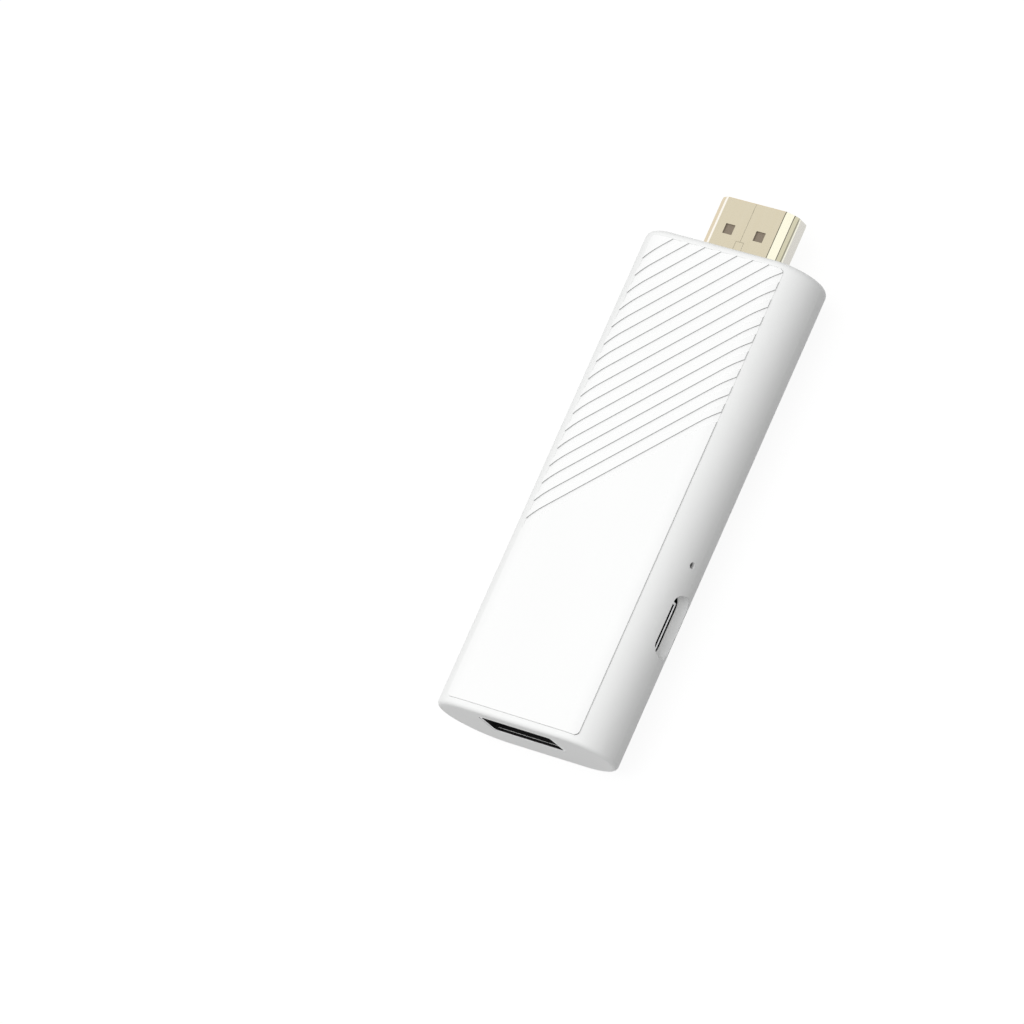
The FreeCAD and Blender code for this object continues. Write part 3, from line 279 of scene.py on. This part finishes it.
def separated(tree, vector):
    """The three parts of a vector."""
    node = tree.nodes.new("ShaderNodeSeparateXYZ")
    tree.links.new(vector, node.inputs[0])
    return node.outputs[0], node.outputs[1], node.outputs[2]


def facet_directions(tree):
    """The three parts of the direction that each facet faces."""
    geometry = tree.nodes.new("ShaderNodeNewGeometry")
    return separated(tree, geometry.outputs["True Normal"])


def near(tree, value, centre, reach):
    """1 where a value lies within reach of a centre."""
    node = tree.nodes.new("ShaderNodeMath")
    node.operation = "COMPARE"
    tree.links.new(value, node.inputs[0])
    node.inputs[1].default_value = centre
    node.inputs[2].default_value = reach
    return node.outputs[0]


def blend_colours(tree, share, first, second):
    """A mix of two colours; each is a colour or a socket."""
    node = tree.nodes.new("ShaderNodeMix")
    node.data_type = "RGBA"
    tree.links.new(share, node.inputs["Factor"])
    for socket, value in ((node.inputs[6], first), (node.inputs[7], second)):
        if isinstance(value, bpy.types.NodeSocket):
            tree.links.new(value, socket)
        else:
            socket.default_value = (*value, 1)
    return node.outputs[2]


def shaded(colour, factor):
    """The same colour, darker or lighter."""
    return tuple(min(1.0, part * factor) for part in colour)


def bump_into(tree, shader, height, distance, edge_radius=0.0):
    """Feeds a height to the shader's normal, over softened edges where a radius is given."""
    bump = tree.nodes.new("ShaderNodeBump")
    bump.inputs["Distance"].default_value = distance
    bump.inputs["Strength"].default_value = 1.0
    tree.links.new(height, bump.inputs["Height"])
    if edge_radius > 0:
        edge = tree.nodes.new("ShaderNodeBevel")
        edge.samples = 4
        edge.inputs["Radius"].default_value = edge_radius
        tree.links.new(edge.outputs["Normal"], bump.inputs["Normal"])
    tree.links.new(bump.outputs["Normal"], shader.inputs["Normal"])


def new_group(name, inputs, outputs):
    """A shader node group with named float or vector inputs and float outputs."""
    tree = bpy.data.node_groups.new(name, "ShaderNodeTree")
    for label, kind, default in inputs:
        socket = tree.interface.new_socket(name=label, in_out="INPUT", socket_type=kind)
        if default is not None:
            socket.default_value = default
    for label in outputs:
        tree.interface.new_socket(name=label, in_out="OUTPUT", socket_type="NodeSocketFloat")
    return tree, tree.nodes.new("NodeGroupInput"), tree.nodes.new("NodeGroupOutput")


def mould_grain_group():
    """The fine pitted grain and slow cloudiness of a spark-eroded mould."""
    if "mould_grain" in bpy.data.node_groups:
        return bpy.data.node_groups["mould_grain"]
    tree, entry, exit_ = new_group(
        "mould_grain",
        (("Vector", "NodeSocketVector", None), ("Grain", "NodeSocketFloat", mould_grain),
         ("Cloud", "NodeSocketFloat", mould_cloud)),
        ("Height", "Cloudiness"))
    pits = tree.nodes.new("ShaderNodeTexVoronoi")
    pits.feature = "SMOOTH_F1"
    tree.links.new(entry.outputs["Vector"], pits.inputs["Vector"])
    tree.links.new(entry.outputs["Grain"], pits.inputs["Scale"])
    fine = tree.nodes.new("ShaderNodeTexNoise")
    fine.inputs["Detail"].default_value = 3.0
    tree.links.new(entry.outputs["Vector"], fine.inputs["Vector"])
    tree.links.new(entry.outputs["Grain"], fine.inputs["Scale"])
    both = math_node(tree, "ADD", pits.outputs["Distance"], fine.outputs["Fac"])
    tree.links.new(math_node(tree, "MULTIPLY", both, 0.5), exit_.inputs["Height"])
    slow = tree.nodes.new("ShaderNodeTexNoise")
    slow.inputs["Detail"].default_value = 2.0
    tree.links.new(entry.outputs["Vector"], slow.inputs["Vector"])
    tree.links.new(entry.outputs["Cloud"], slow.inputs["Scale"])
    tree.links.new(slow.outputs["Fac"], exit_.inputs["Cloudiness"])
    return tree


def rolled_lines_group():
    """The straight fine lines of rolled or brushed sheet, along X."""
    if "rolled_lines" in bpy.data.node_groups:
        return bpy.data.node_groups["rolled_lines"]
    tree, entry, exit_ = new_group(
        "rolled_lines",
        (("Vector", "NodeSocketVector", None), ("Fineness", "NodeSocketFloat", sheet_fineness),
         ("Stretch", "NodeSocketFloat", sheet_stretch)),
        ("Height", "Streaks"))
    spread = tree.nodes.new("ShaderNodeCombineXYZ")
    tree.links.new(entry.outputs["Stretch"], spread.inputs["X"])
    spread.inputs["Y"].default_value = 1.0
    spread.inputs["Z"].default_value = 1.0
    stretched = tree.nodes.new("ShaderNodeVectorMath")
    stretched.operation = "MULTIPLY"
    tree.links.new(entry.outputs["Vector"], stretched.inputs[0])
    tree.links.new(spread.outputs["Vector"], stretched.inputs[1])
    for label, detail, share in (("Height", 2.0, 1.0), ("Streaks", 4.0, 0.35)):
        lines = tree.nodes.new("ShaderNodeTexNoise")
        lines.inputs["Detail"].default_value = detail
        tree.links.new(stretched.outputs["Vector"], lines.inputs["Vector"])
        tree.links.new(math_node(tree, "MULTIPLY", entry.outputs["Fineness"], share),
                       lines.inputs["Scale"])
        tree.links.new(lines.outputs["Fac"], exit_.inputs[label])
    return tree


def place_group(tree, group, place, **values):
    """One use of a group on a place, with its own values."""
    node = tree.nodes.new("ShaderNodeGroup")
    node.node_tree = group
    tree.links.new(place, node.inputs["Vector"])
    for label, value in values.items():
        node.inputs[label].default_value = value
    return node


def pinhole_shade_share(tree, place):
    """The share of painted shade in the pinhole: rises from 0 at its mouth to 1 in its depth, and stays
    0 everywhere else.
    """
    x, y, z = separated(tree, place)
    beside = math_node(tree, "SUBTRACT", x, pinhole[0])
    above = math_node(tree, "SUBTRACT", z, pinhole[1])
    squares = math_node(tree, "ADD", math_node(tree, "MULTIPLY", beside, beside),
                        math_node(tree, "MULTIPLY", above, above))
    within = math_node(tree, "LESS_THAN", squares, pinhole_reach ** 2)
    depth = tree.nodes.new("ShaderNodeMapRange")
    tree.links.new(y, depth.inputs["Value"])
    depth.inputs["From Min"].default_value = pinhole_shade_depth[0]
    depth.inputs["From Max"].default_value = pinhole_shade_depth[1]
    right_half = math_node(tree, "LESS_THAN", y, 0.0)
    return math_node(tree, "MULTIPLY", math_node(tree, "MULTIPLY", within, right_half),
                     depth.outputs["Result"])


def moulded_plastic(name, colour, roughness, grain=mould_grain, depth=0.003 * mm, edge_radius=0.0,
                    cloud_share=0.975, step_shade_colour=None, pinhole_shade_colour=None):
    """Moulded plastic with its mould's grain and a slight cloudiness in colour and gloss.

    A step shade colour, where given, is painted shade on the upright faces that look diagonally across
    the stick, and a pinhole shade colour is painted shade deep in the pinhole.
    """
    material, tree, shader, place = blank_material(name)
    grain_node = place_group(tree, mould_grain_group(), place, Grain=grain)
    cloudiness = grain_node.outputs["Cloudiness"]
    base = blend_colours(tree, cloudiness, shaded(colour, cloud_share), colour)
    if step_shade_colour:
        # painted shade on the cover's upright steps that look diagonally across the stick
        along, across, _ = facet_directions(tree)
        diagonal = math_node(tree, "LESS_THAN", math_node(tree, "ADD", along, across), step_facing)
        base = blend_colours(tree, diagonal, base, step_shade_colour)
    # painted shade deep in the pinhole
    if pinhole_shade_colour:
        base = blend_colours(tree, pinhole_shade_share(tree, place), base, pinhole_shade_colour)
    tree.links.new(base, shader.inputs["Base Color"])
    shader.inputs["Specular IOR Level"].default_value = moulding_specular
    tree.links.new(remap(tree, cloudiness, roughness - moulding_gloss_spread,
                         roughness + moulding_gloss_spread), shader.inputs["Roughness"])
    bump_into(tree, shader, grain_node.outputs["Height"], depth, edge_radius)
    return material


def sheet_metal(name, colour, roughness, fineness=sheet_fineness, depth=0.001 * mm):
    """Rolled and plated sheet metal with fine lines along the stick."""
    material, tree, shader, place = blank_material(name)
    shader.inputs["Metallic"].default_value = 1.0
    lines = place_group(tree, rolled_lines_group(), place, Fineness=fineness)
    streaks = lines.outputs["Streaks"]
    tree.links.new(blend_colours(tree, streaks, shaded(colour, sheet_streak_share), colour),
                   shader.inputs["Base Color"])
    tree.links.new(remap(tree, streaks, roughness - sheet_gloss_spread, roughness + sheet_gloss_spread),
                   shader.inputs["Roughness"])
    bump_into(tree, shader, lines.outputs["Height"], depth)
    return material


def folded_plating(name, finishes):
    """The plug's plating: each folded facet gets its own tone of painted reflection, with lines of
    painted shade at the folds and painted highlights beside them.
    """
    material, tree, shader, place = blank_material(name)
    shader.inputs["Metallic"].default_value = 1.0
    lines = place_group(tree, rolled_lines_group(), place)
    streaks = lines.outputs["Streaks"]
    _, across, upwards = facet_directions(tree)
    _, y, z = separated(tree, place)
    steep = math_node(tree, "ABSOLUTE", upwards)
    # painted reflection: each facet's tone follows how it faces, and the right shoulder is lit while
    # the left is not
    right_side = math_node(tree, "LESS_THAN", across, 0.0)
    shoulder = blend_colours(tree, right_side, tuple(finishes.plug_left_shoulder_plating_and_reflection), tuple(finishes.plug_right_shoulder_plating_and_reflection))
    base = tuple(finishes.plug_side_plating_and_reflection)
    for facing, colour in ((chamfer_facing, tuple(finishes.plug_chamfer_plating_and_reflection)), (shoulder_facing, shoulder),
                           (face_facing, tuple(finishes.plug_face))):
        base = blend_colours(tree, math_node(tree, "GREATER_THAN", steep, facing), base, colour)
    above = math_node(tree, "GREATER_THAN", upwards, upper_facing)
    # painted shade along the folds: a dark line at each
    folds = ((fold_at_face, face_fold_line, tuple(finishes.plug_fold_painted_shade)),
             (fold_at_shoulder, shoulder_fold_line, tuple(finishes.plug_fold_painted_shade)),
             (fold_at_side, side_fold_line, shaded(finishes.plug_chamfer_plating_and_reflection, side_fold_shade)))
    for across_at, reach, colour in folds:
        fold = math_node(tree, "MULTIPLY", near(tree, y, -across_at, reach), above)
        base = blend_colours(tree, fold, base, colour)
    # painted highlights: a light line across the top and another on the right side
    glint = math_node(tree, "MULTIPLY", near(tree, y, face_glint, face_glint_half), above)
    base = blend_colours(tree, glint, base, face_glint_cream)
    upright = math_node(tree, "MULTIPLY", math_node(tree, "LESS_THAN", across, right_side_facing),
                        near(tree, z, side_glint, side_glint_half))
    base = blend_colours(tree, upright, base, side_glint_cream)
    toned = blend_colours(tree, math_node(tree, "MULTIPLY", streaks, plug_streak_share), base, white)
    tree.links.new(toned, shader.inputs["Base Color"])
    tree.links.new(remap(tree, streaks, *plug_roughness), shader.inputs["Roughness"])
    bump_into(tree, shader, lines.outputs["Height"], plated_line_depth, plug_fold_radius)
    return material


def socket_shell(name, colour, low, high, axis, glint=None):
    """Plated sheet whose inside, behind the lip of its mouth, is coloured dark as painted shade.

    low and high are the mouth's box, whose axis runs inwards from the lip. A glint, where given, is
    the near and far edge of a painted highlight on the mouth's floor, measured inwards from the lip.
    """
    material, tree, shader, place = blank_material(name)
    shader.inputs["Metallic"].default_value = 1.0
    lines = place_group(tree, rolled_lines_group(), place)
    parts = separated(tree, place)
    inside = None
    for index, value in enumerate(parts):
        middle = (low[index] + high[index]) / 2
        reach = (high[index] - low[index]) / 2 + (0.0 if index == axis else shell_lip)
        found = near(tree, value, middle, reach)
        inside = found if inside is None else math_node(tree, "MULTIPLY", inside, found)
    streaks = lines.outputs["Streaks"]
    base = blend_colours(tree, streaks, shaded(colour, sheet_streak_share), colour)
    # painted shade: the mouth's inside behind the lip is coloured dark
    base = blend_colours(tree, inside, base, mouth_painted_shade)
    # painted highlight: a light line on the mouth's level floor
    if glint:
        near_edge, far_edge = glint
        level = math_node(tree, "GREATER_THAN", facet_directions(tree)[2], level_facing)
        stripe = near(tree, parts[axis], low[axis] + (near_edge + far_edge) / 2,
                      (far_edge - near_edge) / 2)
        lit = math_node(tree, "MULTIPLY", math_node(tree, "MULTIPLY", inside, level), stripe)
        base = blend_colours(tree, lit, base, white)
    tree.links.new(base, shader.inputs["Base Color"])
    tree.links.new(remap(tree, inside, *shell_roughness), shader.inputs["Roughness"])
    bump_into(tree, shader, lines.outputs["Height"], plated_line_depth, shell_edge_radius)
    return material


def traced_board(name, colour):
    """Solder resist over copper: parallel traces with gaps, and the weave of the glass below."""
    material, tree, shader, place = blank_material(name)
    shader.inputs["Roughness"].default_value = board_roughness
    traces = tree.nodes.new("ShaderNodeTexBrick")
    traces.offset = 0.5
    traces.inputs["Scale"].default_value = 1 / trace_unit
    traces.inputs["Mortar Size"].default_value = trace_gap
    traces.inputs["Brick Width"].default_value = trace_length
    traces.inputs["Row Height"].default_value = trace_pitch
    tree.links.new(place, traces.inputs["Vector"])
    weave = tree.nodes.new("ShaderNodeTexChecker")
    weave.inputs["Scale"].default_value = 1 / weave_pitch
    tree.links.new(place, weave.inputs["Vector"])
    below = blend_colours(tree, math_node(tree, "MULTIPLY", weave.outputs["Fac"], weave_share), colour,
                          shaded(colour, weave_shade))
    tree.links.new(blend_colours(tree, traces.outputs["Fac"], below, shaded(colour, trace_shade)),
                   shader.inputs["Base Color"])
    bump_into(tree, shader, traces.outputs["Fac"], trace_height)
    return material


def end_tinned(name, body_colour, roughness):
    """A two-ended part: its metal caps are the faces that look along the board's width."""
    material, tree, shader, place = blank_material(name)
    grain_node = place_group(tree, mould_grain_group(), place, Grain=5000.0)
    _, across, _ = facet_directions(tree)
    capped = math_node(tree, "GREATER_THAN", math_node(tree, "ABSOLUTE", across), cap_facing)
    body = blend_colours(tree, grain_node.outputs["Cloudiness"],
                         shaded(body_colour, ceramic_cloud_share), body_colour)
    tree.links.new(blend_colours(tree, capped, body, cap_tin), shader.inputs["Base Color"])
    tree.links.new(capped, shader.inputs["Metallic"])
    shader.inputs["Roughness"].default_value = roughness
    bump_into(tree, shader, grain_node.outputs["Height"], 0.002 * mm)
    return material


def dress(material, *names):
    """Gives a finish to nodes of the frame."""
    for name in names:
        slots = nodes[name].data.materials
        slots.clear()
        slots.append(material)


class STICK_OT_finish_case(bpy.types.Operator):
    """Gives the lower housing its grained white moulding, with painted shade deep in the pinhole"""
    bl_idname = "stick.finish_case"
    bl_label = "Finish Case"

    def execute(self, context):
        finishes = context.scene.stick_finishes
        dress(moulded_plastic("case_white", tuple(finishes.case_white), finishes.case_roughness,
                              edge_radius=finishes.edge_radius, pinhole_shade_colour=pinhole_painted_shade),
              "lower_housing")
        return {"FINISHED"}


class STICK_OT_finish_cover(bpy.types.Operator):
    """Gives the ribbed cover its smoother white moulding, with painted shade on its diagonal steps"""
    bl_idname = "stick.finish_cover"
    bl_label = "Finish Cover"

    def execute(self, context):
        finishes = context.scene.stick_finishes
        dress(moulded_plastic("cover_white", tuple(finishes.cover_white), finishes.cover_roughness,
                              grain=5200.0, depth=0.0015 * mm,
                              step_shade_colour=tuple(finishes.step_shade)), "top_cover")
        return {"FINISHED"}


class STICK_OT_finish_plug(bpy.types.Operator):
    """Plates the plug's shell with painted reflection, shade and highlights, and finishes its moulding,
    comb and contacts
    """
    bl_idname = "stick.finish_plug"
    bl_label = "Finish Plug"

    def execute(self, context):
        finishes = context.scene.stick_finishes
        dress(folded_plating("plug_plating", finishes), "hdmi_shell")
        dress(moulded_plastic("plug_moulding", tuple(finishes.moulding_taupe), roughness=0.5,
                              grain=4000.0, cloud_share=0.9), "hdmi_insulator")
        dress(moulded_plastic("comb_moulding", tuple(finishes.socket_black), roughness=0.5),
              "hdmi_rear_spacer")
        dress(sheet_metal("contact_gold", contact_gold, roughness=0.2), "hdmi_contacts",
              "usb_a_contacts", "micro_usb_contacts")
        return {"FINISHED"}


def mouth_box(name, width, axis):
    """The box of a socket's mouth, from just behind its lip to its back and as high as its shell."""
    low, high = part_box(name)
    middle = (low + high) / 2
    across = 1 - axis
    inner_low = Vector(low)
    inner_high = Vector(high)
    inner_low[across] = middle[across] - width / 2
    inner_high[across] = middle[across] + width / 2
    inner_low[axis] = low[axis] + shell_lip
    return inner_low, inner_high


class STICK_OT_finish_sockets(bpy.types.Operator):
    """Finishes both sockets: bright lips, insides coloured dark as painted shade, a painted highlight
    on the USB-A mouth's floor, and black mouldings
    """
    bl_idname = "stick.finish_sockets"
    bl_label = "Finish Sockets"

    def execute(self, context):
        finishes = context.scene.stick_finishes
        tin = tuple(finishes.socket_tin)
        width, height = usb_a_mouth
        low, high = mouth_box("usb_a_shell", width, 0)
        low.z = high.z - usb_a_sheet - height
        high.z -= usb_a_sheet
        dress(socket_shell("usb_a_tin", tin, low, high, 0, lip_glint), "usb_a_shell")
        width, height = micro_mouth
        low, high = mouth_box("micro_usb_shell", width, 1)
        low.z = micro_mouth_middle - height / 2
        high.z = micro_mouth_middle + height / 2
        dress(socket_shell("micro_usb_tin", tin, low, high, 1), "micro_usb_shell")
        dress(moulded_plastic("socket_black", tuple(finishes.socket_black), roughness=0.45),
              "usb_a_tongue", "micro_usb_tongue")
        return {"FINISHED"}


class STICK_OT_finish_switch(bpy.types.Operator):
    """Finishes the reset switch behind the pinhole"""
    bl_idname = "stick.finish_switch"
    bl_label = "Finish Reset Switch"

    def execute(self, context):
        dress(sheet_metal("switch_steel", switch_steel, roughness=0.35), "switch_frame",
              "switch_dome", "switch_terminals")
        dress(moulded_plastic("switch_black", switch_black, roughness=0.5), "switch_base")
        dress(moulded_plastic("button_dark", button_dark, roughness=0.45), "switch_plunger")
        return {"FINISHED"}


class STICK_OT_finish_board(bpy.types.Operator):
    """Finishes the boards, the chips and the small parts on them"""
    bl_idname = "stick.finish_board"
    bl_label = "Finish Board"

    def execute(self, context):
        finishes = context.scene.stick_finishes
        dress(traced_board("board_green", tuple(finishes.board_green)), "main_board", "wifi_board")
        dress(moulded_plastic("chip_epoxy", chip_black, roughness=0.55, grain=6000.0,
                              cloud_share=0.8), "processor", "memory_chips", "storage_chip",
              "power_chip", "surge_arrays", "regulators")
        dress(moulded_plastic("ferrite_grey", ferrite_grey, roughness=0.7, grain=4500.0,
                              depth=0.01 * mm, cloud_share=0.8), "power_inductors", "line_chokes")
        dress(end_tinned("capacitor_tan", capacitor_tan, roughness=0.45), "bulk_capacitors",
              "ceramic_capacitors")
        dress(end_tinned("resistor_black", resistor_black, roughness=0.35), "chip_resistors")
        dress(sheet_metal("screw_zinc", screw_zinc, roughness=0.35), "board_screws")
        dress(sheet_metal("crystal_lid", crystal_metal, roughness=0.25), "main_crystal")
        return {"FINISHED"}


class STICK_OT_finish_shields(bpy.types.Operator):
    """Finishes the shields, the heat spreader, its pads and the wireless module's metal"""
    bl_idname = "stick.finish_shields"
    bl_label = "Finish Shields"

    def execute(self, context):
        dress(sheet_metal("shield_nickel", nickel_silver, roughness=0.32, fineness=2500.0),
              "shield_frame", "shield_lid", "wifi_can", "wifi_antenna")
        dress(sheet_metal("spreader_aluminium", spreader_aluminium, roughness=0.48,
                          fineness=1500.0, depth=0.004 * mm), "heat_spreader")
        dress(moulded_plastic("thermal_grey", thermal_grey, roughness=0.8, grain=2500.0,
                              depth=0.02 * mm, cloud_share=0.88), "lower_thermal_pad",
              "upper_thermal_pad")
        return {"FINISHED"}


def view_axes(azimuth, elevation, roll):
    """The camera's right, up and back directions."""
    back = Vector((math.sin(azimuth) * math.cos(elevation),
                   -math.cos(azimuth) * math.cos(elevation), math.sin(elevation)))
    level = Vector((math.cos(azimuth), math.sin(azimuth), 0))
    upright = back.cross(level)
    right = level * math.cos(roll) + upright * math.sin(roll)
    return right, back.cross(right), back


def place_camera(studio):
    """Puts the camera where the picture was taken from."""
    right, up, back = view_axes(studio.azimuth, studio.elevation, studio.roll)
    data = bpy.data.cameras.new("camera")
    data.lens = studio.lens
    data.clip_start, data.clip_end = camera_reach
    camera = bpy.data.objects.new("camera", data)
    bpy.context.scene.collection.objects.link(camera)
    turned = Matrix((right, up, back)).transposed().to_4x4()
    camera.matrix_world = Matrix.Translation(Vector(studio.target) + back * studio.distance) @ turned
    bpy.context.scene.camera = camera


def soft_light(name, place, aim, width, power):
    """A flat square light that looks at a point and doesn't show itself."""
    data = bpy.data.lights.new(name, "AREA")
    data.shape = "SQUARE"
    data.size = width
    data.energy = power
    light = bpy.data.objects.new(name, data)
    light.visible_camera = False
    light.visible_glossy = False
    bpy.context.scene.collection.objects.link(light)
    light.location = place
    light.rotation_euler = (Vector(aim) - Vector(place)).to_track_quat("-Z", "Y").to_euler()


def seen_directly(tree):
    """1 for what the camera sees straight, mirrored or through something, and 0 for plain light."""
    path = tree.nodes.new("ShaderNodeLightPath")
    mirrored = math_node(tree, "MAXIMUM", path.outputs["Is Camera Ray"], path.outputs["Is Glossy Ray"])
    return math_node(tree, "MAXIMUM", mirrored, path.outputs["Is Transmission Ray"])


def pale_floor():
    """A plain pale floor that keeps the stick's shadow and shows nothing from below."""
    bpy.ops.object.select_all(action="DESELECT")
    bpy.ops.mesh.primitive_plane_add(size=2 * floor_half_width,
                                     location=(0, 0, cad_low[2] - floor_gap))
    floor = bpy.context.active_object
    floor.name = "floor"
    material = bpy.data.materials.new("floor_pale")
    material.use_nodes = True
    tree = material.node_tree
    tree.nodes.clear()
    surface = tree.nodes.new("ShaderNodeOutputMaterial")
    paint = tree.nodes.new("ShaderNodeBsdfDiffuse")
    tree.links.new(blend_colours(tree, seen_directly(tree), floor_return, floor_paint),
                   paint.inputs["Color"])
    glow = tree.nodes.new("ShaderNodeEmission")
    tree.links.new(math_node(tree, "MULTIPLY", seen_directly(tree), floor_glow),
                   glow.inputs["Strength"])
    lit = tree.nodes.new("ShaderNodeAddShader")
    tree.links.new(paint.outputs[0], lit.inputs[0])
    tree.links.new(glow.outputs[0], lit.inputs[1])
    clear = tree.nodes.new("ShaderNodeBsdfTransparent")
    sides = tree.nodes.new("ShaderNodeMixShader")
    tree.links.new(tree.nodes.new("ShaderNodeNewGeometry").outputs["Backfacing"], sides.inputs["Fac"])
    tree.links.new(lit.outputs[0], sides.inputs[1])
    tree.links.new(clear.outputs[0], sides.inputs[2])
    tree.links.new(sides.outputs[0], surface.inputs["Surface"])
    floor.data.materials.append(material)


def room_light(level):
    """Even light from all round, which the camera sees as white."""
    world = bpy.data.worlds.new("room")
    bpy.context.scene.world = world
    world.use_nodes = True
    tree = world.node_tree
    background = tree.nodes["Background"]
    strength = tree.nodes.new("ShaderNodeMix")
    strength.inputs["A"].default_value = level
    strength.inputs["B"].default_value = 1.0
    tree.links.new(seen_directly(tree), strength.inputs["Factor"])
    tree.links.new(strength.outputs["Result"], background.inputs["Strength"])
    background.inputs["Color"].default_value = (*white, 1)


class STICK_OT_build_studio(bpy.types.Operator):
    """Makes the floor, the light and the camera"""
    bl_idname = "stick.build_studio"
    bl_label = "Build Studio"

    def execute(self, context):
        studio = context.scene.stick_studio
        context.scene.view_settings.view_transform = "Standard"
        pale_floor()
        soft_light("overhead", lamp_place, (0, 0, 0), lamp_width, studio.key_level)
        room_light(studio.room_level)
        place_camera(studio)
        return {"FINISHED"}


steps = (STICK_OT_finish_case, STICK_OT_finish_cover, STICK_OT_finish_plug, STICK_OT_finish_sockets,
         STICK_OT_finish_switch, STICK_OT_finish_board, STICK_OT_finish_shields,
         STICK_OT_build_studio)


class STICK_PT_workbench(bpy.types.Panel):
    """The stick's finishes and studio in the sidebar"""
    bl_label = "Streaming Stick"
    bl_idname = "STICK_PT_workbench"
    bl_space_type = "VIEW_3D"
    bl_region_type = "UI"
    bl_category = "Stick"

    def draw(self, context):
        layout = self.layout
        for group in (context.scene.stick_finishes, context.scene.stick_studio):
            box = layout.box()
            for name in group.__annotations__:
                box.prop(group, name)
        for step in steps:
            layout.operator(step.bl_idname)


classes = (StickFinishes, StickStudio, *steps, STICK_PT_workbench)


def register():
    """Adds the classes and the settings to Blender."""
    for item in classes:
        bpy.utils.register_class(item)
    bpy.types.Scene.stick_finishes = bpy.props.PointerProperty(type=StickFinishes)
    bpy.types.Scene.stick_studio = bpy.props.PointerProperty(type=StickStudio)


def unregister():
    """Takes the settings and the classes out again."""
    del bpy.types.Scene.stick_studio
    del bpy.types.Scene.stick_finishes
    for item in reversed(classes):
        bpy.utils.unregister_class(item)


def main():
    """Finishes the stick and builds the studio."""
    register()
    for step in steps:
        family, name = step.bl_idname.split(".")
        getattr(getattr(bpy.ops, family), name)()


if __name__ == "__main__":
    main()
